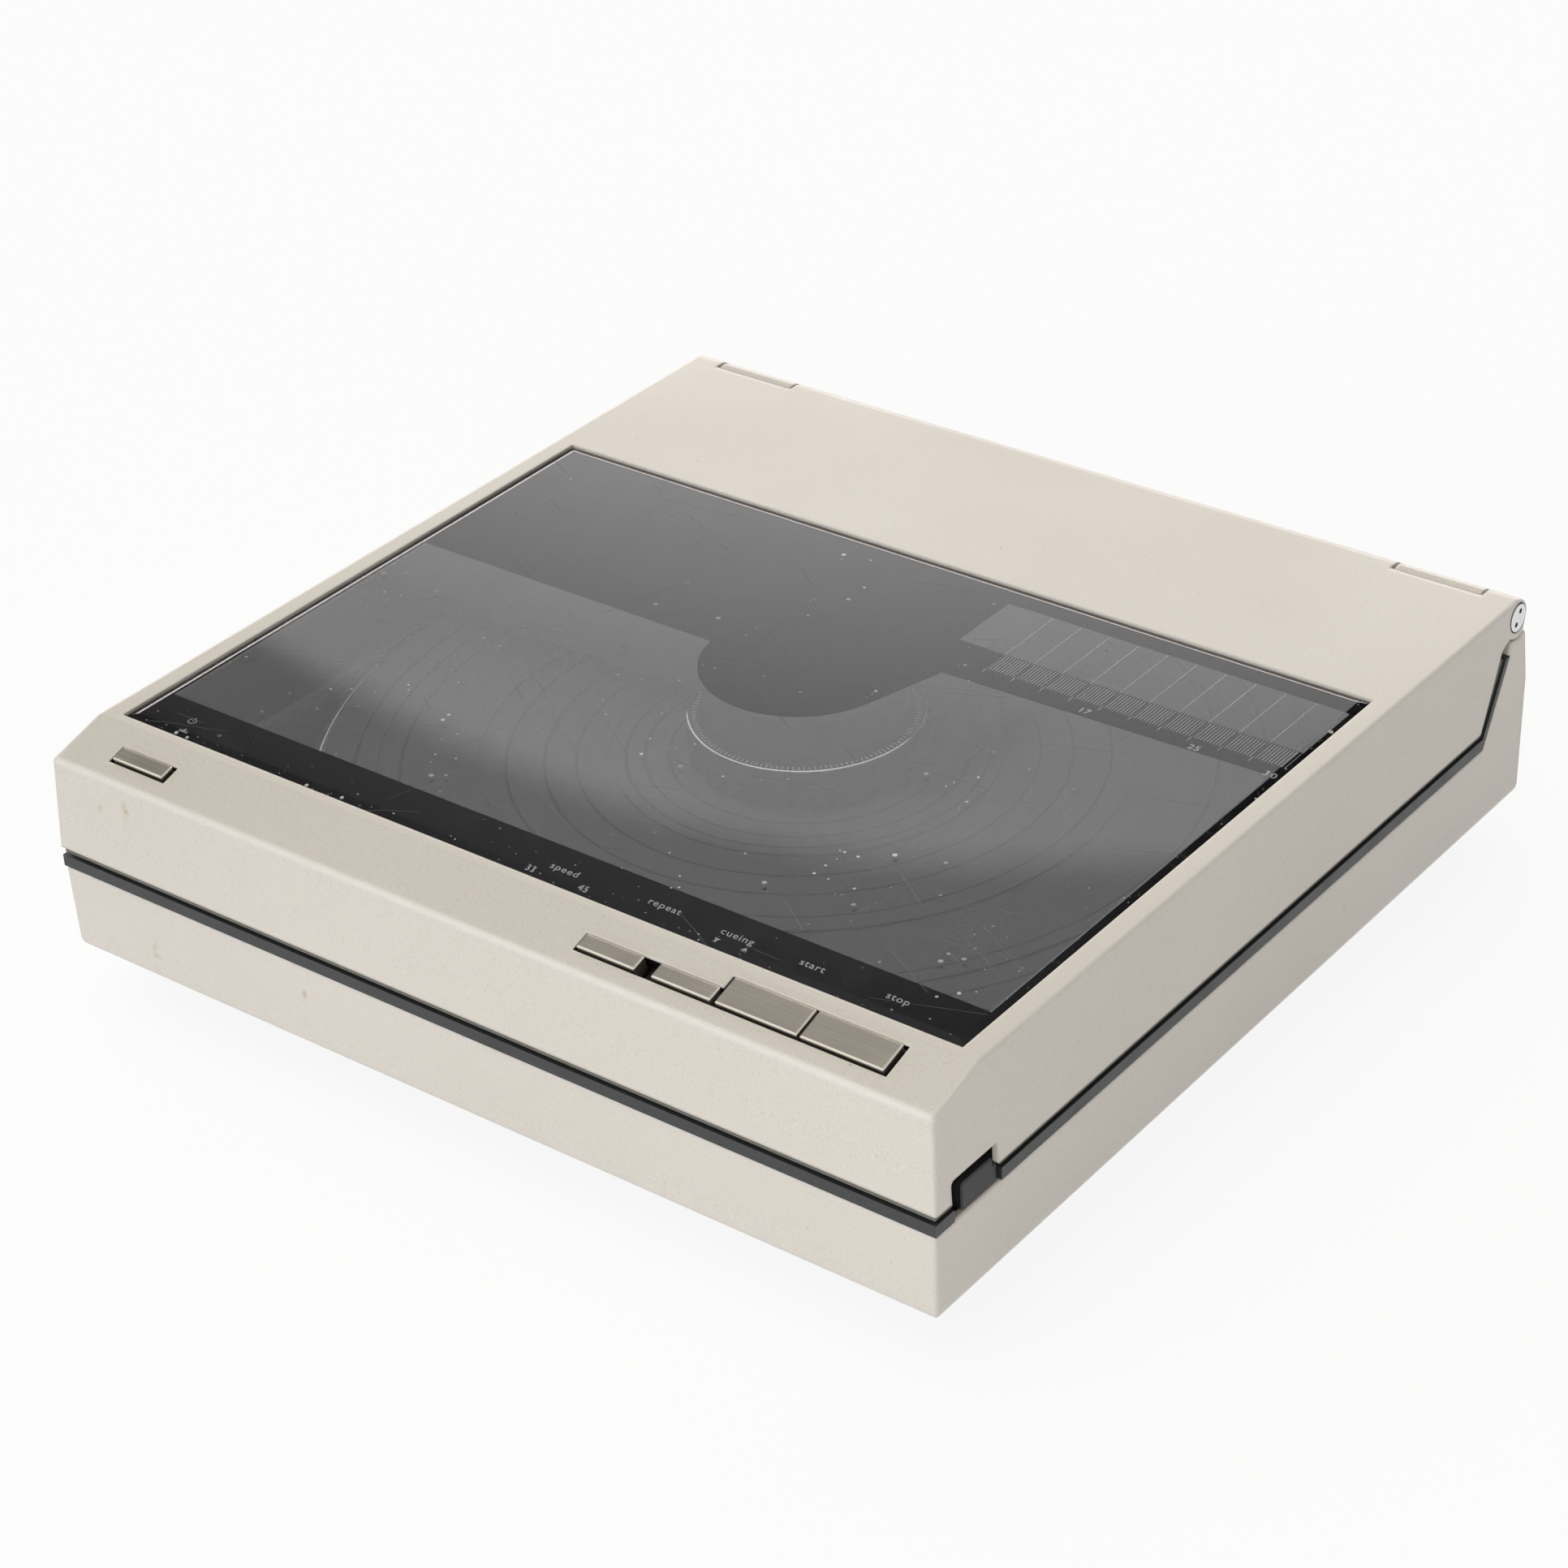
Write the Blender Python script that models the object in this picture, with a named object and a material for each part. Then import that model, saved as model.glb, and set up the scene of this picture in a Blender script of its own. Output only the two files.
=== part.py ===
"""A flat automatic record player with its arm in the lid, closed and at rest.

Metres, +Z up, +X to the right of someone facing the keys, +Y to the back. The origin is on the
floor, in the middle of the whole player. Every length is a named value below; what seats on,
passes through or lines up with another piece is worked out from the same values.
"""
import math

import bmesh
import bpy
from mathutils import Matrix, Vector

# Whole player
WIDTH = 0.315
CASE_DEPTH = 0.3125
TERMINAL_REACH = 0.0025
FOOT_GAP = 0.017
BASE_HEIGHT = 0.0285
SEAM_HEIGHT = 0.007
LID_HEIGHT = 0.0355

# Clearances and the overrun of every cutter
SEAT_GAP = 0.0003
RUN_GAP = 0.0007
OVERRUN = 0.01
MERGE = 1e-7

# Lid casting
LID_WALL = 0.0027
LID_TOP_WALL = 0.0042
LID_DRAFT = 0.0012
LID_FRONT_LEAN = 0.0013
LID_EDGE_ROUND = 0.0008
FASCIA_RUN = 0.0197
FASCIA_RISE = 0.0057
FASCIA_WALL = 0.0029

# Hinge along the back
HINGE_INSET = 0.0075
EAR_RADIUS = 0.0058
EAR_LOW_RADIUS = 0.007
EAR_START_DEG = -125
EAR_BLEND_DEG = -55
EAR_FRONT = 0.0082
FILLET_DROP = 0.0076
FILLET_RUN = 0.0024
FILLET_RISE = 0.0013
CRADLE_RADIUS = 0.0075
CRADLE_END_DEG = -57
SLANT_DEG = 61.5
SLANT_GAP = 0.005
POST_LENGTH = 0.0455
POST_WEB = 0.0025
KNUCKLE_OFFSET = 0.0032
KNUCKLE_LENGTH = 0.0294
KNUCKLE_GAP = 0.001
KNUCKLE_WEB_HALF = 0.0048
PIN_RADIUS = 0.002
CAP_RADIUS = 0.0046
CAP_THICKNESS = 0.0026
CAP_RECESS = 0.0004
CAP_HOLE_RADIUS = 0.0006
CAP_HOLE_DEPTH = 0.0008
CAP_HOLE_SPREAD = 0.0022
CAP_BEVEL = 0.0005
LID_REAR_WALL = 0.0027
LID_REAR_BACK = 0.001
BARREL_CUT = 0.005

# Window
WINDOW_SIDE = 0.008
WINDOW_FRONT = 0.0243
WINDOW_REAR = 0.0745
WINDOW_THICKNESS = 0.0024
WINDOW_LEDGE = 0.0032
WINDOW_LEDGE_WALL = 0.0015

# Rim strip under the lid and deck frame on the base
SKIRT_INSET = 0.001
SKIRT_DEPTH = 0.004
SKIRT_HEIGHT = 0.0017
SKIRT_SLANT = 0.0015
SKIRT_END_DROP = 0.0102
SKIRT_CORNER = 0.0135
SKIRT_CORNER_BACK = 0.004
FRAME_INSET = 0.0003
FRAME_HEIGHT = 0.0038
FRAME_SLANT = 0.002
FRAME_END_DROP = 0.0105

# Base casting
BASE_INSET = 0.0006
BASE_LEAN = 0.0006
BASE_WALL = 0.003
BASE_EDGE_ROUND = 0.003
BASE_SIDE_ROUND = 0.001
BASE_REAR_LEAN = 0.0026
BASE_REAR_BEND = 0.0125
BASE_TOP_DROP = 0.0025
BASE_REAR_MID_DROP = 0.0082
POST_INSIDE_DROP = 0.0112
POST_LEDGE = 0.0025
BLOCK_WIDTH = 0.01
BLOCK_DEPTH = 0.01
BLOCK_REAR = 0.0355
PANEL_HALF = 0.08
PANEL_LOW = 0.005
PANEL_HIGH = 0.025

# Bottom cover and feet
COVER_DROP = 0.0045
COVER_FLANGE = 0.0022
COVER_FLOOR = 0.0025
COVER_INSET = 0.0075
COVER_RIM = 0.0025
FOOT_RADIUS = 0.017
FOOT_MARGIN = 0.0375
FOOT_CHAMFER = 0.0015

# Deck, motor and platter
DECK_DROP = 0.0035
DECK_THICKNESS = 0.0025
PLATTER_MARGIN = 0.0077
PLATTER_RIM_WIDTH = 0.0108
PLATTER_RIM_HEIGHT = 0.0116
PLATTER_GAP = 0.0018
PLATTER_PLATE = 0.003
PLATTER_LIP = 0.003
PLATTER_LIP_HEIGHT = 0.0019
PLATTER_CHAMFER = 0.0008
PLATTER_HUB_RADIUS = 0.014
PLATTER_HUB_DROP = 0.0045
WELL_GAP = 0.0018
MAT_GAP = 0.0006
MAT_THICKNESS = 0.0035
MAT_HOLE_RADIUS = 0.0205
MAT_GROOVE_SHARES = (0.39, 0.65, 0.85)
MAT_GROOVE_WIDTH = 0.002
MAT_GROOVE_DEPTH = 0.0006
SPINDLE_RADIUS = 0.0036
SPINDLE_RISE = 0.0082
SPINDLE_ROUND = 0.0025
SPINDLE_DEPTH = 0.0175
STATOR_RADIUS = 0.048
STATOR_THICKNESS = 0.003
BEARING_RADIUS = 0.012
BEARING_DEPTH = 0.02
BEARING_FLOOR = 0.0022
MAGNET_INNER = 0.05
MAGNET_WIDTH = 0.01
MAGNET_DROP = 0.0072
ADAPTER_RADIUS = 0.019
ADAPTER_THICKNESS = 0.003
ADAPTER_BORE = 0.0042
ADAPTER_CHAMFER = 0.0006

# Keys on the sloping front, along the slope from its lower edge
WELL_START = 0.00645
WELL_DEPTH = 0.0065
WELL_DEPTH_WIDE = 0.011
POWER_MARGIN = 0.0183
POWER_KEY_GAP = 0.00118
MAIN_WELL_MARGIN = 0.0199
MAIN_WELL_WIDTH = 0.1028
MAIN_WELL_STEP_SHARE = 0.4494
KEY_GAP = 0.0007
KEY_RISE = 0.0008
KEY_SINK = 0.0062
KEY_EDGE = 0.0003
KEY_LENGTH_SHARE = 0.191
KEY_END_GAP = 0.0013
KEY_SPLIT_GAP = 0.001
REPEAT_GAP = 0.0009
CUEING_GAP = 0.0003
KEY_TRAVEL = 0.0012
KEY_STEM_HALF = 0.0013
KEY_STEM = 0.0022
GUIDE_DROP = 0.0016
GUIDE_THICKNESS = 0.0017
GUIDE_MARGIN = 0.0035
GUIDE_BACK_MARGIN = 0.001
GUIDE_LEG_RADIUS = 0.0018
GUIDE_LEG_SHARES = (0.15, 0.35, 0.55)
BOARD_THICKNESS = 0.0016
SWITCH_HEIGHT = 0.0028
SWITCH_HALF = 0.0018

# Covers on the lid's underside
COVER_RISE = 0.011
COVER_THICKNESS = 0.002
KEY_COVER_BACK = 0.0432
COVER_SIDE_GAP = 0.0005
PILLAR_RADIUS = 0.003
PILLAR_SIDE = 0.008
PILLAR_FRONT = 0.0205
MECHANISM_FRONT_Y = -0.002
MECHANISM_ARM_GAP = 0.0088
MECHANISM_STRIP = 0.0495
MECHANISM_REAR_GAP = 0.0008
PILLAR_REAR = 0.0085
PILLAR_POST_GAP = 0.012
PILLAR_SIDE_SHARES = (0.53, 0.8)

# Record clamp
CLAMP_RADIUS = 0.036
CLAMP_REST = 0.0006
CLAMP_HEIGHT = 0.0131
CLAMP_RIM = 0.0014
CLAMP_PAD_INNER = 0.0208
CLAMP_PAD_HEIGHT = 0.0041
CLAMP_PLATE = 0.0025
CLAMP_BORE = 0.0043
CLAMP_HUB_RADIUS = 0.0155
CLAMP_HUB_HEIGHT = 0.0051
CLAMP_LIP = 0.002
CLAMP_CHAMFER = 0.0008
CLAMP_HOLE_GAP = 0.002
CLAMP_TRAVEL = 0.0022
PLUNGER_RADIUS = 0.0095
PLUNGER_BORE = 0.0068
PLUNGER_FLANGE = 0.0027
PLUNGER_FLANGE_HEIGHT = 0.0022
PLUNGER_FLOOR = 0.0015
PLUNGER_COLLAR = 0.002
PLUNGER_COLLAR_HEIGHT = 0.0012
HOUSING_RADIUS = 0.031
HOUSING_WALL = 0.0015
HOUSING_FLOOR = 0.0017
HOUSING_RISE = 0.0006
HOUSING_BOSS = 0.0025
HOUSING_BOSS_HEIGHT = 0.0049
BRIDGE_HALF = 0.012
BRIDGE_END = 0.058
BRIDGE_LEG = 0.006
SPRING_RADIUS = 0.005
SPRING_WIRE = 0.0006
SPRING_TURNS = 6
SPRING_STEPS_PER_TURN = 10

# Arm, its carriage and rails
ARM_SIDE = 0.0077
LAST_GROOVE_RADIUS = 0.0578
ARM_PIVOT = 0.0435
ARM_AXIS_DROP = 0.0118
ARM_TUBE_RADIUS = 0.0026
ARM_HUB_RADIUS = 0.004
ARM_HUB_HALF = 0.003
ARM_PIVOT_RADIUS = 0.0014
HEAD_START = 0.018
HEAD_LENGTH = 0.009
HEAD_HALF = 0.0036
HEAD_LOW = 0.0045
HEAD_HIGH = 0.0025
CARTRIDGE_FRONT = -0.006
CARTRIDGE_HALF = 0.0036
CARTRIDGE_LOW = 0.008
CARTRIDGE_SLOPE = 0.006
CARTRIDGE_SLOPE_RISE = 0.0035
STYLUS_HALF = 0.0014
STYLUS_HEIGHT = 0.0008
STYLUS_LENGTH = 0.005
STYLUS_TIP_DROP = 0.0013
STYLUS_TIP_RADIUS = 0.0004
RAIL_FROM_HINGE = 0.0295
RAIL_RADIUS = 0.0025
GUIDE_RAIL_FROM_HINGE = 0.02
GUIDE_RAIL_RADIUS = 0.0015
RAIL_SPARE = 0.0063
RAIL_SIDE = 0.0049
CARRIAGE_LENGTH = 0.026
CARRIAGE_ARM_GAP = 0.004
CARRIAGE_FROM_HINGE = 0.0375
CARRIAGE_DEPTH = 0.0202
CARRIAGE_HALF_LOW = 0.0035
CARRIAGE_HALF_HIGH = 0.0045
EAR_THICKNESS = 0.0024
EAR_HALF = 0.0036
TAB_LENGTH = 0.006
TAB_HALF = 0.0022
TAB_RISE = 0.0022
BRACKET_THICKNESS = 0.0026
BRACKET_LOW = 0.006
SOLENOID_RADIUS = 0.0033
SOLENOID_LENGTH = 0.011
SOLENOID_INSET = 0.0085

# Arm drive
CORD_RADIUS = 0.0005
CORD_DROP = 0.0048
DRUM_X = -0.008
DRUM_RADIUS = 0.008
DRUM_HALF = 0.0014
FLANGE_HEIGHT = 0.0006
FLANGE_REACH = 0.0016
WHEEL_RADIUS = 0.016
WHEEL_LOW = 0.0015
WHEEL_HEIGHT = 0.003
WHEEL_SLEEVE = 0.0035
AXLE_RADIUS = 0.0015
AXLE_HEAD_RADIUS = 0.003
AXLE_HEAD_HEIGHT = 0.0009
IDLER_ARM_GAP = 0.0108
MOTOR_X = -0.06
MOTOR_RADIUS = 0.012
MOTOR_HEIGHT = 0.012
MOTOR_SHAFT_RADIUS = 0.001
MOTOR_SHAFT_LENGTH = 0.008
PULLEY_RADIUS = 0.003
BELT_THICKNESS = 0.0008
BELT_HALF_HEIGHT = 0.001

# Latch on the right side
LATCH_FROM_FRONT = 0.02125
LATCH_LENGTH = 0.0158
RECESS_FRONT = 0.0141
RECESS_BACK = 0.0067
RECESS_RISE = 0.0068
RECESS_ROUND = 0.0014
LATCH_FACE_INSET = 0.0013
LATCH_THICKNESS = 0.0046
LATCH_TOP_RISE = 0.0018
LATCH_BEVEL = 0.0005
LATCH_STEP = 0.0018
LATCH_STEP_DROP = 0.0006
LATCH_TRAVEL = 0.004
LATCH_FOOT_WIDTH = 0.0085
LATCH_FOOT_DROP = 0.0055
NOSE_WIDTH = 0.0038
NOSE_LOW = 0.0029
NOSE_HEIGHT = 0.0022
NOSE_REACH = 0.0042
CATCH_FOOT = 0.003
CATCH_STEM = 0.003
CATCH_FOOT_HEIGHT = 0.0021
CATCH_FOOT_LOW = 0.0004
CATCH_WIDTH = 0.0042

# Electronics in the base and the sockets at the back
MAIN_BOARD_LEFT = -0.06
MAIN_BOARD_SIDE = 0.0475
MAIN_BOARD_MARGIN = 0.0275
MAIN_BOARD_BACK = -0.035
MAIN_BOARD_RISE = 0.0073
BOSS_RADIUS = 0.003
BOSS_INSET = 0.006
CAN_SHARES = (0.2, 0.4, 0.6)
CAN_RADIUS = 0.006
CAN_HEIGHT = 0.012
SINK_LENGTH = 0.03
SINK_DEPTH = 0.008
SINK_HEIGHT = 0.011
TRANSFORMER_SIDE = 0.0625
TRANSFORMER_FROM_HINGE = 0.0675
TRANSFORMER_LENGTH = 0.05
TRANSFORMER_DEPTH = 0.04
TRANSFORMER_HEIGHT = 0.019
COIL_MARGIN = 0.006
REAR_PANEL_THICKNESS = 0.002
REAR_PANEL_INSET = 0.0006
SOCKET_RADIUS = 0.0042
SOCKET_BORE = 0.0016
SOCKET_INSIDE = 0.012
SOCKET_OUTSIDE = 0.0015
SOCKET_FLANGE = 0.0016
SOCKET_FLANGE_HEIGHT = 0.0008
SOCKET_X = 0.055
SOCKET_SPACING = 0.016
TERMINAL_X = 0.02
TERMINAL_RADIUS = 0.0035
TERMINAL_NECK = 0.0015
INLET_X = -0.05
INLET_HALF_WIDTH = 0.0095
INLET_HALF_HEIGHT = 0.005
INLET_DEPTH = 0.014
INLET_OUTSIDE = 0.0008
INLET_WALL = 0.0016
INLET_PIN_RADIUS = 0.0012
INLET_PIN_SPREAD = 0.0043

# How finely round pieces are cut into faces
ROUND_LARGE = 72
ROUND_MEDIUM = 36
ROUND_SMALL = 20
ROUND_TINY = 12
ARC_STEPS = 5

# Places worked out from the sizes above
HALF_WIDTH = WIDTH / 2
FRONT_Y = -(CASE_DEPTH + TERMINAL_REACH) / 2
BACK_Y = FRONT_Y + CASE_DEPTH
BASE_BOTTOM_Z = FOOT_GAP
BASE_TOP_Z = BASE_BOTTOM_Z + BASE_HEIGHT
LID_EDGE_Z = BASE_TOP_Z + SEAM_HEIGHT
TOP_Z = LID_EDGE_Z + LID_HEIGHT
CEILING_Z = TOP_Z - LID_TOP_WALL
LEDGE_Z = TOP_Z - WINDOW_THICKNESS - SEAT_GAP
HINGE_Y = BACK_Y - HINGE_INSET
HINGE_Z = TOP_Z - EAR_RADIUS
SLANT = math.radians(SLANT_DEG)
REAR_MARGIN = 0.0265
BASE_KINK_Y = BACK_Y - REAR_MARGIN
LID_KINK_Y = BASE_KINK_Y - (SLANT_GAP - SEAM_HEIGHT * math.cos(SLANT)) / math.sin(SLANT)
POST_INNER = HALF_WIDTH - POST_LENGTH
KNUCKLE_INNER = POST_INNER + KNUCKLE_OFFSET
KNUCKLE_OUTER = KNUCKLE_INNER + KNUCKLE_LENGTH
SLOT_RADIUS = EAR_RADIUS + RUN_GAP
FASCIA_ANGLE = math.atan2(FASCIA_RISE, FASCIA_RUN)
FASCIA_Y = FRONT_Y + LID_FRONT_LEAN
FASCIA_Z = TOP_Z - FASCIA_RISE
WINDOW_FRONT_Y = FRONT_Y + WINDOW_FRONT
WINDOW_BACK_Y = HINGE_Y - WINDOW_REAR
WINDOW_HALF = HALF_WIDTH - WINDOW_SIDE
BLOCK_REAR_Y = HINGE_Y - BLOCK_REAR
FOOT_X = HALF_WIDTH - FOOT_MARGIN
FOOT_Y = -FRONT_Y - FOOT_MARGIN
PLATTER_RADIUS = min(HALF_WIDTH, -FRONT_Y) - PLATTER_MARGIN

POWER_LEFT = POWER_MARGIN - HALF_WIDTH
MAIN_WELL_LEFT = HALF_WIDTH - MAIN_WELL_MARGIN - MAIN_WELL_WIDTH
MAIN_WELL_STEP = MAIN_WELL_WIDTH * MAIN_WELL_STEP_SHARE
KEY_LENGTH = MAIN_WELL_WIDTH * KEY_LENGTH_SHARE
POWER_WELL_WIDTH = KEY_LENGTH + POWER_KEY_GAP * 2
REPEAT_LEFT = MAIN_WELL_LEFT + REPEAT_GAP
CUEING_LEFT = MAIN_WELL_LEFT + MAIN_WELL_STEP - KEY_LENGTH - CUEING_GAP
START_LEFT = MAIN_WELL_LEFT + MAIN_WELL_STEP + KEY_END_GAP
STOP_RIGHT = MAIN_WELL_LEFT + MAIN_WELL_WIDTH - KEY_END_GAP
START_LENGTH = (STOP_RIGHT - START_LEFT - KEY_SPLIT_GAP) / 2
STOP_LEFT = STOP_RIGHT - START_LENGTH

COVER_BOTTOM_Z = BASE_BOTTOM_Z - COVER_DROP
COVER_FLOOR_Z = COVER_BOTTOM_Z + COVER_FLOOR
COVER_TOP_Z = BASE_BOTTOM_Z + SEAT_GAP + COVER_FLANGE
DECK_Z = BASE_TOP_Z - DECK_DROP
RIM_BOTTOM_Z = DECK_Z + PLATTER_GAP
RIM_TOP_Z = RIM_BOTTOM_Z + PLATTER_RIM_HEIGHT
PLATE_TOP_Z = RIM_TOP_Z - PLATTER_LIP_HEIGHT
PLATE_BOTTOM_Z = PLATE_TOP_Z - PLATTER_PLATE
MAT_Z = PLATE_TOP_Z + SEAT_GAP + MAT_THICKNESS
UNDERSIDE_Z = LID_EDGE_Z + COVER_RISE
UNDERSIDE_TOP_Z = UNDERSIDE_Z + COVER_THICKNESS

GUIDE_TOP = -(FASCIA_WALL + GUIDE_DROP)
GUIDE_BOTTOM = GUIDE_TOP - GUIDE_THICKNESS
KEY_BOTTOM = -(KEY_SINK + KEY_STEM)
BOARD_TOP = KEY_BOTTOM - KEY_TRAVEL - SEAT_GAP

ARM_X = HALF_WIDTH - ARM_SIDE
ARM_PIVOT_Y = HINGE_Y - ARM_PIVOT
RAIL_Y = HINGE_Y - RAIL_FROM_HINGE
GUIDE_RAIL_Y = HINGE_Y - GUIDE_RAIL_FROM_HINGE
CARRIAGE_FRONT = HINGE_Y - CARRIAGE_FROM_HINGE
CARRIAGE_BACK = CARRIAGE_FRONT + CARRIAGE_DEPTH
CARRIAGE_RIGHT = ARM_X - CARRIAGE_ARM_GAP
RAIL_LEFT = LAST_GROOVE_RADIUS - CARRIAGE_ARM_GAP - CARRIAGE_LENGTH - RAIL_SPARE
RAIL_RIGHT = HALF_WIDTH - RAIL_SIDE
ARM_Z = CEILING_Z - ARM_AXIS_DROP
CORD_REACH = DRUM_RADIUS + SEAT_GAP + CORD_RADIUS
DRUM_Y = RAIL_Y - CORD_REACH
IDLER_X = ARM_X - IDLER_ARM_GAP
CORD_Z = CEILING_Z - CORD_DROP
WHEEL_Z = UNDERSIDE_TOP_Z + WHEEL_LOW
WHEEL_TOP_Z = WHEEL_Z + WHEEL_HEIGHT
BELT_Z = (WHEEL_Z + WHEEL_TOP_Z) / 2

LATCH_X = HALF_WIDTH - LATCH_FACE_INSET
LATCH_Y = FRONT_Y + LATCH_FROM_FRONT

PILLAR_X = HALF_WIDTH - PILLAR_SIDE
PILLAR_REAR_X = POST_INNER - PILLAR_POST_GAP
PILLAR_REAR_Y = HINGE_Y - PILLAR_REAR
MECHANISM_RIGHT_X = LAST_GROOVE_RADIUS - MECHANISM_ARM_GAP
MECHANISM_STRIP_Y = HINGE_Y - MECHANISM_STRIP
MAIN_BOARD_FRONT = FRONT_Y + MAIN_BOARD_MARGIN
MAIN_BOARD_DEPTH = MAIN_BOARD_BACK - MAIN_BOARD_FRONT
MAIN_BOARD_LENGTH = HALF_WIDTH - MAIN_BOARD_SIDE - MAIN_BOARD_LEFT
TRANSFORMER_X = TRANSFORMER_SIDE - HALF_WIDTH
TRANSFORMER_Y = HINGE_Y - TRANSFORMER_FROM_HINGE

ORIGIN = Vector((0, 0, 0))


class Frame:
    """Where an outline lies: across and up in its plane, and the way it is extruded."""

    def __init__(self, origin, across, up, out):
        self.origin = Vector(origin)
        self.across = Vector(across)
        self.up = Vector(up)
        self.out = Vector(out)

    def point(self, across, up, out):
        return self.origin + self.across * across + self.up * up + self.out * out


SIDEWAYS = Frame(ORIGIN, (0, 1, 0), (0, 0, 1), (1, 0, 0))
UPRIGHT = Frame(ORIGIN, (1, 0, 0), (0, 1, 0), (0, 0, 1))
REARWARD = Frame(ORIGIN, (1, 0, 0), (0, 0, 1), (0, 1, 0))
FASCIA = Frame(
    (0, FASCIA_Y, FASCIA_Z),
    (1, 0, 0),
    (0, math.cos(FASCIA_ANGLE), math.sin(FASCIA_ANGLE)),
    (0, -math.sin(FASCIA_ANGLE), math.cos(FASCIA_ANGLE)),
)

FINISHES = {
    "cream_paint": ((0.72, 0.69, 0.62), 0.55, 0.0),
    "dark_plastic": ((0.065, 0.065, 0.07), 0.5, 0.0),
    "black_plastic": ((0.02, 0.02, 0.021), 0.45, 0.0),
    "clear_window": ((0.3, 0.31, 0.33), 0.08, 0.0),
    "brushed_steel": ((0.5, 0.48, 0.44), 0.35, 1.0),
    "chrome": ((0.85, 0.85, 0.86), 0.1, 1.0),
    "cast_aluminium": ((0.6, 0.6, 0.6), 0.4, 1.0),
    "rubber": ((0.03, 0.03, 0.03), 0.85, 0.0),
    "steel": ((0.55, 0.55, 0.56), 0.3, 1.0),
    "zinc_plate": ((0.45, 0.45, 0.43), 0.45, 1.0),
    "circuit_board": ((0.16, 0.22, 0.1), 0.5, 0.0),
    "magnet": ((0.12, 0.12, 0.13), 0.6, 0.0),
    "cord": ((0.5, 0.47, 0.4), 0.7, 0.0),
    "copper": ((0.6, 0.3, 0.15), 0.4, 0.6),
}


def material(name, finish):
    colour, roughness, metallic = FINISHES[finish]
    made = bpy.data.materials.new(name + "_" + finish)
    made.use_nodes = True
    shader = made.node_tree.nodes["Principled BSDF"]
    shader.inputs["Base Color"].default_value = (*colour, 1)
    shader.inputs["Roughness"].default_value = roughness
    shader.inputs["Metallic"].default_value = metallic
    made.diffuse_color = (*colour, 1)
    return made


def piece(name, shape, finish, origin=ORIGIN, smooth=False):
    """One named piece from a bmesh in world coordinates, with its origin at the given point."""
    bmesh.ops.remove_doubles(shape, verts=shape.verts, dist=MERGE)
    bmesh.ops.recalc_face_normals(shape, faces=shape.faces)
    bmesh.ops.translate(shape, vec=-Vector(origin), verts=shape.verts)
    mesh = bpy.data.meshes.new(name)
    shape.to_mesh(mesh)
    shape.free()
    if smooth:
        mesh.shade_smooth()
        mesh.set_sharp_from_angle(angle=math.radians(35))
    made = bpy.data.objects.new(name, mesh)
    made.location = origin
    bpy.context.scene.collection.objects.link(made)
    made.data.materials.append(material(name, finish))
    return made


def helper(name, shape):
    """A cutter or an addition for a Boolean, left out of the part."""
    made = piece(name, shape, "dark_plastic")
    made.hide_render = True
    made.display_type = "WIRE"
    return made


def combine(target, operation, shapes):
    """Add or cut each bmesh in turn."""
    for shape in shapes:
        tool = helper(f"{target.name}_{operation.lower()}_{len(target.modifiers)}", shape)
        modifier = target.modifiers.new(tool.name, "BOOLEAN")
        modifier.operation = operation
        modifier.object = tool
        modifier.solver = "EXACT"


def cut(target, *shapes):
    combine(target, "DIFFERENCE", shapes)


def join(target, *shapes):
    combine(target, "UNION", shapes)


def round_sharp(shape, width, segments, flat_z):
    """Round every sharp edge of a bmesh but those that lie at one height."""
    bmesh.ops.recalc_face_normals(shape, faces=shape.faces)
    sharp = []
    for edge in shape.edges:
        level = all(abs(vert.co.z - flat_z) < MERGE for vert in edge.verts)
        if not level and edge.calc_face_angle() > math.radians(40):
            sharp.append(edge)
    bmesh.ops.bevel(shape, geom=sharp, offset=width, segments=segments, profile=0.5, affect="EDGES")


def round_edges(target, width, segments=2):
    modifier = target.modifiers.new("rounded_edges", "BEVEL")
    modifier.width = width
    modifier.segments = segments
    modifier.limit_method = "ANGLE"
    modifier.angle_limit = math.radians(40)


def arc(centre, radius, start_deg, end_deg, steps=ARC_STEPS):
    """Points along an arc in a plane, both ends included."""
    points = []
    for step in range(steps + 1):
        angle = math.radians(start_deg + (end_deg - start_deg) * step / steps)
        points.append((centre[0] + radius * math.cos(angle), centre[1] + radius * math.sin(angle)))
    return points


def circle(centre, radius, steps):
    return arc(centre, radius, 0, 360, steps)[:-1]


def prism(outline, low, high, frame=UPRIGHT):
    """A closed outline extruded from low to high along its frame."""
    shape = bmesh.new()
    corners = [shape.verts.new(frame.point(a, b, low)) for a, b in outline]
    face = shape.faces.new(corners)
    grown = bmesh.ops.extrude_face_region(shape, geom=[face])
    moved = [item for item in grown["geom"] if isinstance(item, bmesh.types.BMVert)]
    bmesh.ops.translate(shape, vec=frame.out * (high - low), verts=moved)
    return shape


def block(low, high):
    """A box between two corners."""
    shape = bmesh.new()
    middle = (Vector(low) + Vector(high)) / 2
    sides = Vector(high) - Vector(low)
    matrix = Matrix.Translation(middle) @ Matrix.Diagonal((*sides, 1))
    bmesh.ops.create_cube(shape, size=1, matrix=matrix)
    return shape


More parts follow.
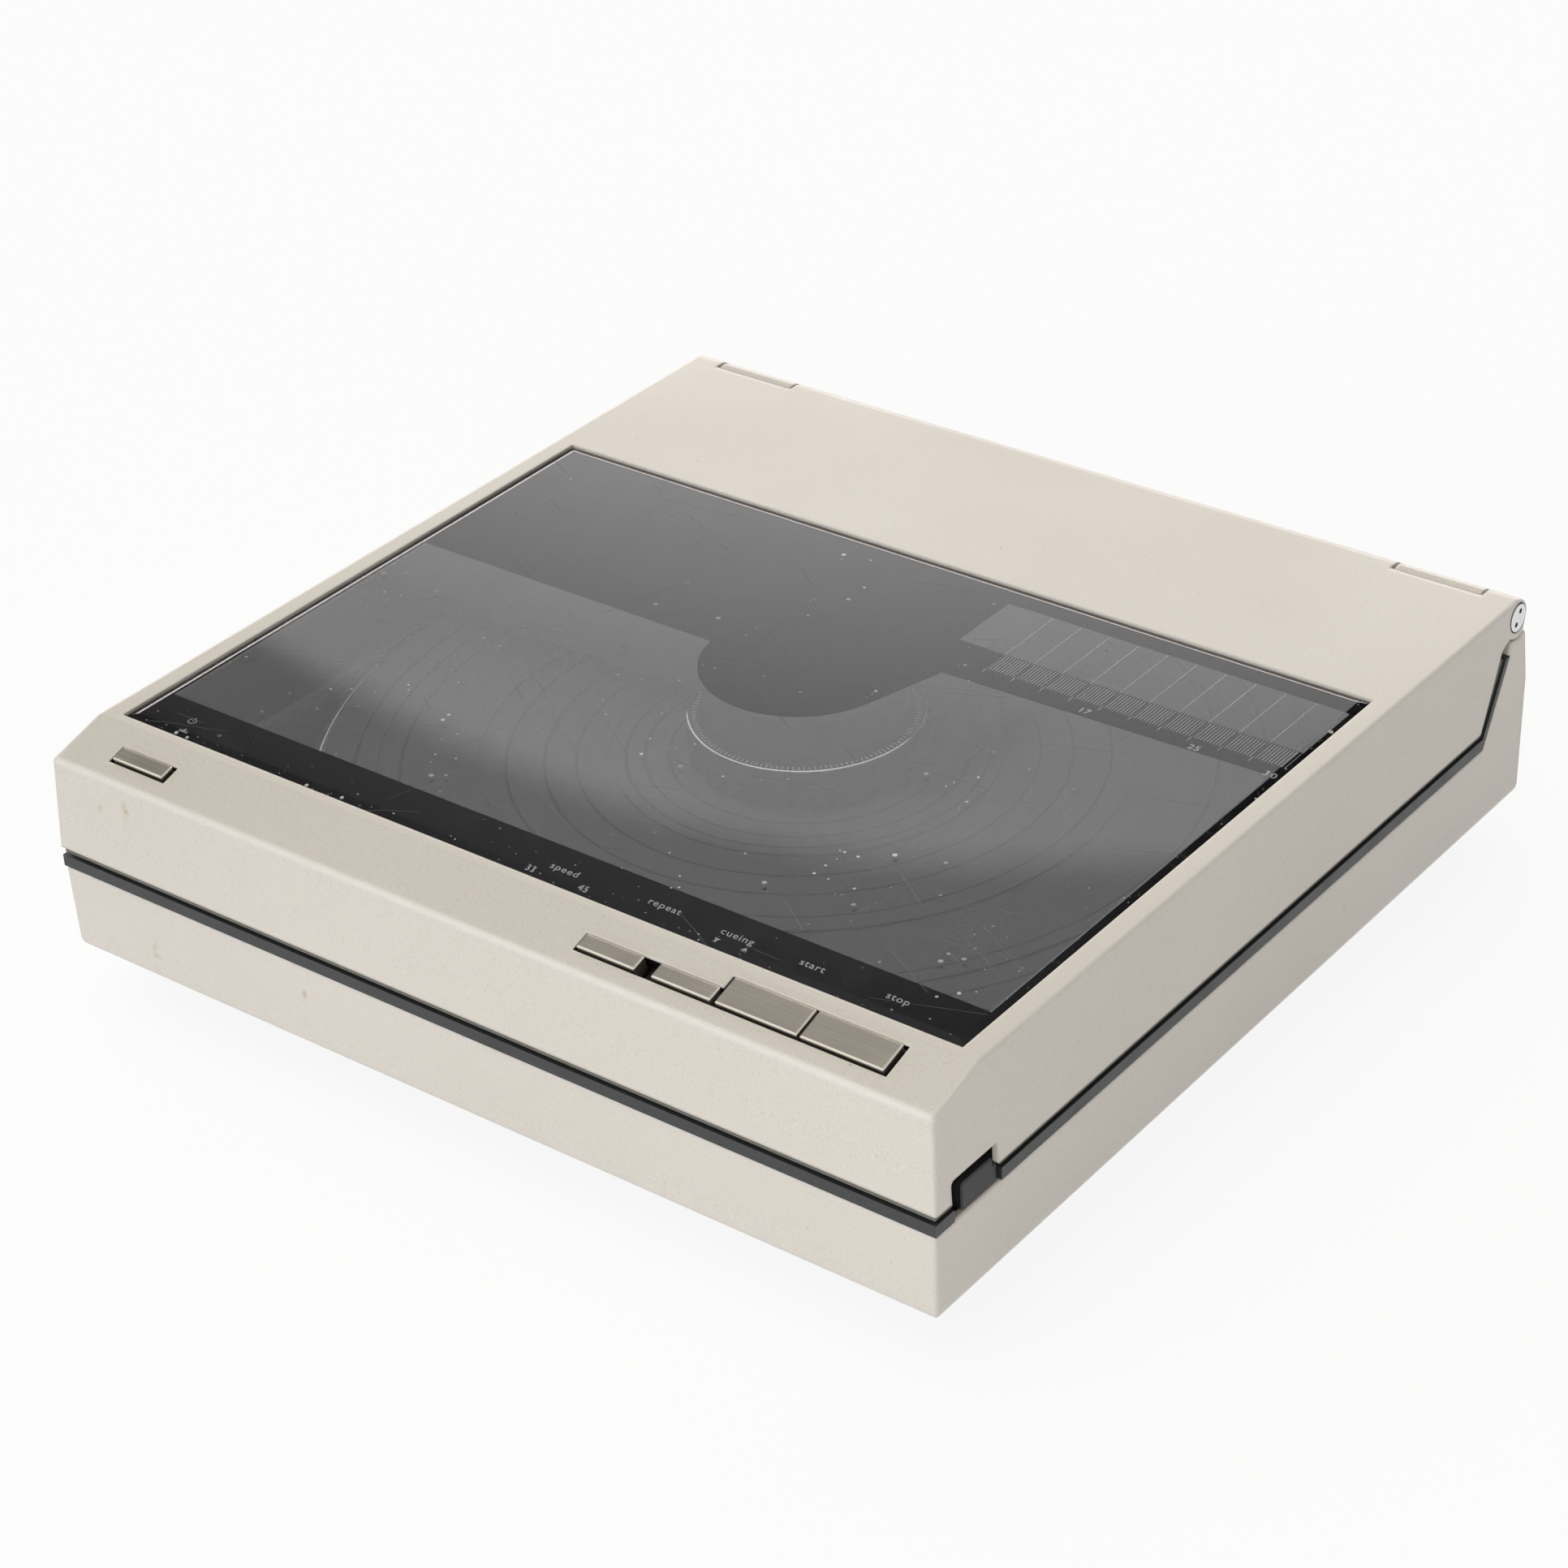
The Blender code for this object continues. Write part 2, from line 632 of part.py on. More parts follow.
def turned(profile, centre, steps, axis="Z"):
    """A profile of (radius, height) points spun round an axis through the centre."""
    shape = bmesh.new()
    along = {"X": Vector((1, 0, 0)), "Y": Vector((0, 1, 0)), "Z": Vector((0, 0, 1))}[axis]
    across = Vector((0, 0, 1)) if axis != "Z" else Vector((1, 0, 0))
    middle = Vector(centre)
    corners = [shape.verts.new(middle + across * radius + along * height) for radius, height in profile]
    on_axis = profile[0][0] == 0 and profile[-1][0] == 0
    pairs = list(zip(corners, corners[1:]))
    if not on_axis:
        pairs.append((corners[-1], corners[0]))
    edges = [shape.edges.new(pair) for pair in pairs]
    bmesh.ops.spin(
        shape,
        geom=corners + edges,
        cent=middle,
        axis=along,
        angle=math.tau,
        steps=steps,
        use_merge=True,
    )
    bmesh.ops.remove_doubles(shape, verts=shape.verts, dist=MERGE)
    return shape


def rod(centre, radius, low, high, steps, axis="Z"):
    """A plain round bar; low and high are measured along the axis from the centre."""
    return turned([(0, low), (radius, low), (radius, high), (0, high)], centre, steps, axis)


def tube(path, radius, sides, closed=False):
    """A round bar along a list of points, with flat ends or joined end to end."""
    shape = bmesh.new()
    rings = []
    count = len(path)
    for index, point in enumerate(path):
        before = path[(index - 1) % count] if closed or index else path[0]
        after = path[(index + 1) % count] if closed or index < count - 1 else path[-1]
        ahead = (after - before).normalized()
        side = ahead.cross(Vector((0, 0, 1))).normalized()
        up = side.cross(ahead)
        ring = []
        for corner in range(sides):
            angle = math.tau * corner / sides
            ring.append(shape.verts.new(point + side * radius * math.cos(angle) + up * radius * math.sin(angle)))
        rings.append(ring)
    last = count if closed else count - 1
    for index in range(last):
        one, two = rings[index], rings[(index + 1) % count]
        for corner in range(sides):
            following = (corner + 1) % sides
            shape.faces.new((one[corner], one[following], two[following], two[corner]))
    if not closed:
        shape.faces.new(rings[0][::-1])
        shape.faces.new(rings[-1])
    return shape


def belt_loop(first, first_radius, second, second_radius, steps):
    """The loop that a belt takes round two pulleys, anticlockwise, in their plane."""
    run = second[0] - first[0]
    lean = math.degrees(math.acos((first_radius - second_radius) / run))
    around_second = arc(second, second_radius, -lean, lean, steps)
    around_first = arc(first, first_radius, lean, 360 - lean, steps)
    return around_second + around_first


def band(inner, outer, low, high):
    """A flat belt between two loops that have the same number of points."""
    shape = bmesh.new()
    rings = []
    for loop, height in ((inner, low), (outer, low), (outer, high), (inner, high)):
        rings.append([shape.verts.new((x, y, height)) for x, y in loop])
    count = len(inner)
    for ring, following in zip(rings, rings[1:] + rings[:1]):
        for index in range(count):
            other = (index + 1) % count
            shape.faces.new((ring[index], ring[other], following[other], following[index]))
    return shape


def mirrored(side, low, high):
    """The x range on the left (-1) or right (1) side, lowest first."""
    return (low, high) if side > 0 else (-high, -low)


def narrowed(shape, amount, half, low_z, high_z):
    """Lean the side walls in by the amount between two heights."""
    for vert in shape.verts:
        side = math.copysign(1, vert.co.x)
        vert.co.x = side * (half - amount * (vert.co.z - low_z) / (high_z - low_z))


def line_to_circle(start, angle, centre, radius):
    """Where a line from start, at the angle, first meets a circle."""
    ahead = Vector((math.cos(angle), math.sin(angle)))
    offset = Vector(start) - Vector(centre)
    along = offset.dot(ahead)
    inside = along * along - offset.length_squared + radius * radius
    reach = -along - math.sqrt(max(inside, 0))
    return Vector(start) + ahead * reach


def on_slant(start_y, start_z, height, shift=0):
    """The point of a slanted rear face at a height, moved back by a distance square to the face."""
    return (start_y + (height - start_z) / math.tan(SLANT) + shift / math.sin(SLANT), height)


def lid_half(height, inset=0):
    """Half the lid's width at a height."""
    return HALF_WIDTH - LID_DRAFT * (height - LID_EDGE_Z) / LID_HEIGHT - inset


def lid_outline():
    """The lid from the side: front, sloping front, top, round back, ear and slanted rear edge."""
    centre = (HINGE_Y, HINGE_Z)
    ear = arc(centre, EAR_LOW_RADIUS, EAR_BLEND_DEG, EAR_START_DEG, ARC_STEPS - 1)
    fillet_z = HINGE_Z - FILLET_DROP
    fillet_y = on_slant(LID_KINK_Y, LID_EDGE_Z, fillet_z)[0]
    return [
        (FRONT_Y, LID_EDGE_Z),
        (FASCIA_Y, FASCIA_Z),
        (FASCIA_Y + FASCIA_RUN, TOP_Z),
        *arc(centre, EAR_RADIUS, 90, 0, ARC_STEPS + 2),
        *ear,
        (fillet_y + FILLET_RUN, fillet_z + FILLET_RISE),
        (fillet_y, fillet_z),
        (LID_KINK_Y, LID_EDGE_Z),
    ]


def lid_cavity():
    """The hollow of the lid from the side, open below."""
    low = LID_EDGE_Z - OVERRUN
    inner_front = FRONT_Y + LID_WALL
    lean = LID_FRONT_LEAN / (FASCIA_Z - LID_EDGE_Z)
    slope = FASCIA_RISE / FASCIA_RUN
    inner_y = FASCIA_Y + FASCIA_WALL * math.sin(FASCIA_ANGLE)
    inner_z = FASCIA_Z - FASCIA_WALL * math.cos(FASCIA_ANGLE)
    corner_y = inner_front + LID_FRONT_LEAN
    corner_z = inner_z + (corner_y - inner_y) * slope
    ceiling_y = inner_y + (CEILING_Z - inner_z) / slope
    fillet_z = HINGE_Z - FILLET_DROP
    return [
        (inner_front - lean * OVERRUN, low),
        (corner_y, corner_z),
        (ceiling_y, CEILING_Z),
        (HINGE_Y - EAR_FRONT, CEILING_Z),
        (HINGE_Y - EAR_FRONT, HINGE_Z - FILLET_RUN),
        on_slant(LID_KINK_Y, LID_EDGE_Z, fillet_z, -LID_WALL),
        on_slant(LID_KINK_Y, LID_EDGE_Z, low, -LID_WALL),
    ]


def keyhole(radius, half, low, back=0):
    """A round end about the hinge axis on a straight stem of half the given width."""
    meet = math.degrees(math.asin(half / radius))
    right = -90 + meet
    points = [(HINGE_Y - half, low), *arc((HINGE_Y, HINGE_Z), radius, 270 - meet, 0, 10)]
    if back:
        points += [(back, HINGE_Z), (back, low)]
    else:
        points += [*arc((HINGE_Y, HINGE_Z), radius, 0, right, 4)[1:], (HINGE_Y + half, low)]
    return points


def fascia_box(left, length, start, depth, low, high):
    """A block square to the sloping front."""
    outline = [(left, start), (left + length, start), (left + length, start + depth), (left, start + depth)]
    return prism(outline, low, high, FASCIA)


def main_well():
    """The stepped opening for the four keys on the right."""
    right = MAIN_WELL_LEFT + MAIN_WELL_WIDTH
    step = MAIN_WELL_LEFT + MAIN_WELL_STEP
    low = WELL_START
    return [
        (MAIN_WELL_LEFT, low),
        (right, low),
        (right, low + WELL_DEPTH_WIDE),
        (step, low + WELL_DEPTH_WIDE),
        (step, low + WELL_DEPTH),
        (MAIN_WELL_LEFT, low + WELL_DEPTH),
    ]


def recess_outline(top_z):
    """The latch recess in the lid's right wall, open below, with rounded upper corners."""
    front, back = LATCH_Y - RECESS_FRONT, LATCH_Y + RECESS_BACK
    high = top_z - RECESS_ROUND
    return [
        (front, LID_EDGE_Z - OVERRUN),
        (back, LID_EDGE_Z - OVERRUN),
        *arc((back - RECESS_ROUND, high), RECESS_ROUND, 0, 90, 3),
        *arc((front + RECESS_ROUND, high), RECESS_ROUND, 90, 180, 3),
    ]


def make_lid_shell():
    body = prism(lid_outline(), -HALF_WIDTH, HALF_WIDTH, SIDEWAYS)
    narrowed(body, LID_DRAFT, HALF_WIDTH, LID_EDGE_Z, TOP_Z)
    round_sharp(body, LID_EDGE_ROUND, 2, LID_EDGE_Z)
    shell = piece("lid_shell", body, "cream_paint", (0, HINGE_Y, HINGE_Z))
    hollow = prism(lid_cavity(), -HALF_WIDTH, HALF_WIDTH, SIDEWAYS)
    narrowed(hollow, LID_DRAFT, HALF_WIDTH - LID_WALL, LID_EDGE_Z, TOP_Z)
    inner_y = HINGE_Y + LID_REAR_BACK - LID_REAR_WALL
    low = LID_EDGE_Z - OVERRUN
    cut(
        shell,
        hollow,
        block((-POST_INNER, HINGE_Y - EAR_FRONT - OVERRUN - OVERRUN, low), (POST_INNER, inner_y, CEILING_Z)),
        block((-POST_INNER, HINGE_Y + LID_REAR_BACK, low), (POST_INNER, BACK_Y + OVERRUN, HINGE_Z - BARREL_CUT)),
        block(
            (-WINDOW_HALF, WINDOW_FRONT_Y, LEDGE_Z),
            (WINDOW_HALF, WINDOW_BACK_Y, TOP_Z + OVERRUN),
        ),
        block(
            (-WINDOW_HALF + WINDOW_LEDGE, WINDOW_FRONT_Y + WINDOW_LEDGE, CEILING_Z - OVERRUN),
            (WINDOW_HALF - WINDOW_LEDGE, WINDOW_BACK_Y - WINDOW_LEDGE, TOP_Z + OVERRUN),
        ),
        prism(main_well(), GUIDE_TOP - OVERRUN, OVERRUN, FASCIA),
        fascia_box(POWER_LEFT, POWER_WELL_WIDTH, WELL_START, WELL_DEPTH, GUIDE_TOP - OVERRUN, OVERRUN),
        prism(
            recess_outline(LID_EDGE_Z + RECESS_RISE),
            HALF_WIDTH - LID_DRAFT - LID_WALL - OVERRUN,
            HALF_WIDTH + OVERRUN,
            SIDEWAYS,
        ),
    )
    slot_low = HINGE_Z - CRADLE_RADIUS - OVERRUN
    slot_outline = keyhole(SLOT_RADIUS, KNUCKLE_WEB_HALF + RUN_GAP, slot_low, BACK_Y + OVERRUN)
    for side in (-1, 1):
        slot = mirrored(side, KNUCKLE_INNER - KNUCKLE_GAP, KNUCKLE_OUTER + KNUCKLE_GAP)
        bore = mirrored(side, POST_INNER - OVERRUN, HALF_WIDTH + OVERRUN)
        seat = mirrored(side, cap_inner_x() - SEAT_GAP, HALF_WIDTH + OVERRUN)
        axis = (0, HINGE_Y, HINGE_Z)
        cut(
            shell,
            prism(slot_outline, *slot, SIDEWAYS),
            rod(axis, PIN_RADIUS + SEAT_GAP, *bore, ROUND_TINY, "X"),
            rod(axis, CAP_RADIUS + SEAT_GAP, *seat, ROUND_SMALL, "X"),
        )


def cap_inner_x():
    """Where the hinge cap's inner face lies, from the middle of the player."""
    return lid_half(HINGE_Z) - CAP_RECESS - CAP_THICKNESS


def make_window():
    pane = block(
        (-WINDOW_HALF + SEAT_GAP, WINDOW_FRONT_Y + SEAT_GAP, LEDGE_Z + SEAT_GAP),
        (WINDOW_HALF - SEAT_GAP, WINDOW_BACK_Y - SEAT_GAP, TOP_Z),
    )
    piece("window", pane, "clear_window")


def latch_slot():
    """What is cut from the rim strips to let the latch through."""
    front = LATCH_Y - LATCH_LENGTH / 2 - LATCH_TRAVEL - RUN_GAP
    back = LATCH_Y + LATCH_LENGTH / 2 + RUN_GAP
    inner = LATCH_X - LATCH_FOOT_WIDTH - RUN_GAP
    return block((inner, front, BASE_TOP_Z - OVERRUN), (HALF_WIDTH + OVERRUN, back, LID_EDGE_Z))


def make_lid_skirt():
    top = LID_EDGE_Z - SEAT_GAP
    low = top - SKIRT_HEIGHT
    end = HINGE_Z - SKIRT_END_DROP
    near, far = SEAT_GAP, SEAT_GAP + SKIRT_SLANT
    outline = [
        (FRONT_Y + SKIRT_INSET, low),
        on_slant(LID_KINK_Y, LID_EDGE_Z, low, far),
        on_slant(LID_KINK_Y, LID_EDGE_Z, end, far),
        on_slant(LID_KINK_Y, LID_EDGE_Z, end, near),
        on_slant(LID_KINK_Y, LID_EDGE_Z, top, near),
        (FRONT_Y + SKIRT_INSET, top),
    ]
    half = HALF_WIDTH - SKIRT_INSET
    strip = piece("lid_skirt", prism(outline, -half, half, SIDEWAYS), "dark_plastic")
    inner = half - SKIRT_DEPTH
    rear = LID_KINK_Y - SKIRT_HEIGHT
    cut(
        strip,
        block(
            (-inner, FRONT_Y + SKIRT_INSET + SKIRT_DEPTH, low - OVERRUN),
            (inner, rear, top + OVERRUN),
        ),
        block((-POST_INNER, rear - OVERRUN, low - OVERRUN), (POST_INNER, BACK_Y, end + OVERRUN)),
    )
    corner_back = LATCH_Y + LATCH_LENGTH / 2 + SKIRT_CORNER_BACK
    join(
        strip,
        block(
            (half - SKIRT_CORNER, FRONT_Y + SKIRT_INSET + SKIRT_DEPTH / 2, low),
            (half - SKIRT_DEPTH / 2, corner_back, top),
        ),
    )
    cut(strip, latch_slot())


def make_deck_frame():
    low = BASE_TOP_Z + SEAT_GAP
    top = low + FRAME_HEIGHT
    end = HINGE_Z - FRAME_END_DROP
    near, far = -SEAT_GAP, -(SEAT_GAP + FRAME_SLANT)
    outline = [
        (FRONT_Y + FRAME_INSET, low),
        on_slant(BASE_KINK_Y, BASE_TOP_Z, low, near),
        on_slant(BASE_KINK_Y, BASE_TOP_Z, end, near),
        on_slant(BASE_KINK_Y, BASE_TOP_Z, end, far),
        on_slant(BASE_KINK_Y, BASE_TOP_Z, top, far),
        (FRONT_Y + FRAME_INSET, top),
    ]
    half = HALF_WIDTH - FRAME_INSET
    frame = piece("deck_frame", prism(outline, -half, half, SIDEWAYS), "dark_plastic")
    rear = POST_INNER - RUN_GAP
    well = PLATTER_RADIUS + WELL_GAP
    join(frame, block((-rear, BASE_KINK_Y - OVERRUN, low), (rear, well - SEAT_GAP, top - SEAT_GAP)))
    cut(
        frame,
        prism(circle((0, 0), well, ROUND_LARGE), low - OVERRUN, top + OVERRUN),
        block(
            (-POST_INNER, BASE_KINK_Y - FRAME_SLANT - FRAME_SLANT, top),
            (POST_INNER, BACK_Y, end + OVERRUN),
        ),
        latch_slot(),
    )


def base_outline():
    """The base from the side, with the hinge cradle along its back."""
    centre = (HINGE_Y, HINGE_Z)
    lip = line_to_circle((BASE_KINK_Y, BASE_TOP_Z), SLANT, centre, CRADLE_RADIUS)
    start = math.degrees(math.atan2(lip.y - HINGE_Z, lip.x - HINGE_Y))
    cradle = arc(centre, CRADLE_RADIUS, start, CRADLE_END_DEG, ARC_STEPS)
    front = FRONT_Y + BASE_INSET
    return [
        (front, BASE_TOP_Z),
        (BASE_KINK_Y, BASE_TOP_Z),
        *cradle,
        (BACK_Y - BASE_REAR_LEAN, cradle[-1][1]),
        (BACK_Y, BASE_TOP_Z + BASE_REAR_BEND),
        (BACK_Y, BASE_BOTTOM_Z),
        (front + BASE_LEAN, BASE_BOTTOM_Z),
    ]


def make_base_case():
    half = HALF_WIDTH - BASE_INSET
    body = prism(base_outline(), -half, half, SIDEWAYS)
    narrowed(body, -BASE_LEAN, half - BASE_LEAN, BASE_BOTTOM_Z, BASE_TOP_Z)
    for vert in body.verts:
        vert.co.x = max(-half, min(half, vert.co.x))
    bottom = [edge for edge in body.edges if all(abs(v.co.z - BASE_BOTTOM_Z) < MERGE for v in edge.verts)]
    bmesh.ops.bevel(body, geom=bottom, offset=BASE_EDGE_ROUND, segments=3, profile=0.5, affect="EDGES")
    case = piece("base_case", body, "cream_paint")
    round_edges(case, BASE_SIDE_ROUND)
    inner = half - BASE_WALL
    front = FRONT_Y + BASE_INSET + BASE_LEAN + BASE_WALL
    back = BACK_Y - BASE_WALL + BASE_INSET
    low = BASE_BOTTOM_Z - OVERRUN
    under_top = BASE_TOP_Z - BASE_TOP_DROP
    roof = HINGE_Z - POST_INSIDE_DROP
    cut(
        case,
        block((-inner, front, low), (inner, back, under_top)),
        block((-inner, front, under_top - BASE_TOP_DROP), (inner, BASE_KINK_Y - POST_LEDGE, BASE_TOP_Z + OVERRUN)),
        block(
            (-POST_INNER, BASE_KINK_Y - OVERRUN - OVERRUN, under_top - BASE_TOP_DROP),
            (POST_INNER, back, TOP_Z + OVERRUN),
        ),
        block(
            (-POST_INNER, back - OVERRUN, HINGE_Z - BASE_REAR_MID_DROP),
            (POST_INNER, BACK_Y + OVERRUN, TOP_Z),
        ),
        block(
            (-PANEL_HALF, back - OVERRUN, BASE_BOTTOM_Z + PANEL_LOW),
            (PANEL_HALF, BACK_Y + OVERRUN, BASE_BOTTOM_Z + PANEL_HIGH),
        ),
    )
    for side in (-1, 1):
        hollow = mirrored(side, POST_INNER + POST_WEB, inner)
        outline = [
            on_slant(BASE_KINK_Y, BASE_TOP_Z, under_top - BASE_TOP_DROP, BASE_WALL),
            (back, under_top - BASE_TOP_DROP),
            (back, roof),
            on_slant(BASE_KINK_Y, BASE_TOP_Z, roof, BASE_WALL),
        ]
        cut(case, prism(outline, *hollow, SIDEWAYS))
        knuckle = mirrored(side, KNUCKLE_INNER, KNUCKLE_OUTER)
        web_low = HINGE_Z - CRADLE_RADIUS - BASE_TOP_DROP
        join(case, prism(keyhole(EAR_RADIUS, KNUCKLE_WEB_HALF, web_low), *knuckle, SIDEWAYS))
        wide = mirrored(side, inner - BLOCK_WIDTH, inner + BASE_WALL / 2)
        top = DECK_Z - DECK_THICKNESS - SEAT_GAP
        for start in (front - BASE_WALL / 2, BLOCK_REAR_Y):
            join(
                case,
                block((wide[0], start, COVER_TOP_Z + SEAT_GAP), (wide[1], start + BLOCK_DEPTH, top)),
            )
        bore = mirrored(side, POST_INNER - OVERRUN, HALF_WIDTH + OVERRUN)
        cut(case, rod((0, HINGE_Y, HINGE_Z), PIN_RADIUS + SEAT_GAP, *bore, ROUND_TINY, "X"))


def make_hinges():
    for side, word in ((-1, "left"), (1, "right")):
        axis = Vector((0, HINGE_Y, HINGE_Z))
        ends = mirrored(side, POST_INNER, cap_inner_x() - SEAT_GAP - SEAT_GAP)
        piece(f"hinge_pin_{word}", rod(axis, PIN_RADIUS, *ends, ROUND_TINY, "X"), "steel", axis, True)
        inner = cap_inner_x()
        outer = inner + CAP_THICKNESS
        profile = [
            (0, side * inner),
            (CAP_RADIUS, side * inner),
            (CAP_RADIUS, side * (outer - CAP_BEVEL)),
            (CAP_RADIUS - CAP_BEVEL, side * outer),
            (0, side * outer),
        ]
        cap = piece(f"hinge_cap_{word}", turned(profile, axis, ROUND_MEDIUM, "X"), "chrome", axis, True)
        holes = mirrored(side, outer - CAP_HOLE_DEPTH, outer + OVERRUN)
        lean = math.radians(60)
        for way in (-1, 1):
            shift = Vector((0, math.cos(lean), -math.sin(lean))) * way * CAP_HOLE_SPREAD
            cut(cap, rod(axis + shift, CAP_HOLE_RADIUS, *holes, ROUND_TINY, "X"))


def make_bottom_cover():
    half = HALF_WIDTH - BASE_INSET - BASE_LEAN - BASE_WALL - SEAT_GAP
    front = FRONT_Y + BASE_INSET + BASE_LEAN + BASE_WALL + SEAT_GAP
    back = BACK_Y - BASE_WALL + BASE_INSET - SEAT_GAP
    flange_z = BASE_BOTTOM_Z + SEAT_GAP
    inset = COVER_INSET
    plate = piece(
        "bottom_cover",
        block(
            (-HALF_WIDTH + inset, FRONT_Y + inset, COVER_BOTTOM_Z),
            (HALF_WIDTH - inset, BACK_Y - inset, COVER_TOP_Z),
        ),
        "dark_plastic",
    )
    join(plate, block((-half, front, flange_z), (half, back, COVER_TOP_Z)))
    rim = inset + COVER_RIM
    cut(
        plate,
        block(
            (-HALF_WIDTH + rim, FRONT_Y + rim, COVER_FLOOR_Z),
            (HALF_WIDTH - rim, BACK_Y - rim, COVER_TOP_Z + OVERRUN),
        ),
    )
    boss_top = COVER_FLOOR_Z + MAIN_BOARD_RISE - SEAT_GAP
    for x in (MAIN_BOARD_LEFT + BOSS_INSET, MAIN_BOARD_LEFT + MAIN_BOARD_LENGTH - BOSS_INSET):
        for y in (MAIN_BOARD_FRONT + BOSS_INSET, MAIN_BOARD_FRONT + MAIN_BOARD_DEPTH - BOSS_INSET):
            join(plate, rod((x, y, 0), BOSS_RADIUS, COVER_BOTTOM_Z + COVER_FLOOR / 2, boss_top, ROUND_TINY))


def make_feet():
    top = COVER_BOTTOM_Z - SEAT_GAP
    profile = [
        (0, 0),
        (FOOT_RADIUS - FOOT_CHAMFER, 0),
        (FOOT_RADIUS, FOOT_CHAMFER),
        (FOOT_RADIUS, top),
        (0, top),
    ]
    for row, y in (("front", -FOOT_Y), ("back", FOOT_Y)):
        for word, x in (("left", -FOOT_X), ("right", FOOT_X)):
            piece(f"foot_{row}_{word}", turned(profile, (x, y, 0), ROUND_SMALL), "rubber", (x, y, 0), True)


def make_deck_and_motor():
    half = HALF_WIDTH - BASE_INSET - BASE_WALL - SEAT_GAP
    front = FRONT_Y + BASE_INSET + BASE_LEAN + BASE_WALL + SEAT_GAP
    back = BACK_Y - BASE_WALL + BASE_INSET - SEAT_GAP
    plate = piece(
        "deck_plate",
        block((-half, front, DECK_Z - DECK_THICKNESS), (half, back, DECK_Z)),
        "zinc_plate",
    )
    latch_clear = LATCH_X - LATCH_FOOT_WIDTH - RUN_GAP
    latch_front = LATCH_Y - LATCH_LENGTH / 2 - LATCH_TRAVEL - RUN_GAP
    latch_back = LATCH_Y + LATCH_LENGTH / 2 + RUN_GAP
    cut(
        plate,
        rod(ORIGIN, BEARING_RADIUS + SEAT_GAP, DECK_Z - OVERRUN, DECK_Z + OVERRUN, ROUND_SMALL),
        block(
            (latch_clear, latch_front, DECK_Z - OVERRUN),
            (HALF_WIDTH, latch_back, DECK_Z + OVERRUN),
        ),
    )
    bearing_low = DECK_Z - BEARING_DEPTH
    disc_low = DECK_Z + SEAT_GAP
    bore = SPINDLE_RADIUS + SEAT_GAP
    stator = [
        (0, bearing_low),
        (BEARING_RADIUS, bearing_low),
        (BEARING_RADIUS, disc_low),
        (STATOR_RADIUS, disc_low),
        (STATOR_RADIUS, disc_low + STATOR_THICKNESS),
        (bore, disc_low + STATOR_THICKNESS),
        (bore, bearing_low + BEARING_FLOOR),
        (0, bearing_low + BEARING_FLOOR),
    ]
    piece("motor_stator", turned(stator, ORIGIN, ROUND_MEDIUM), "copper", smooth=True)


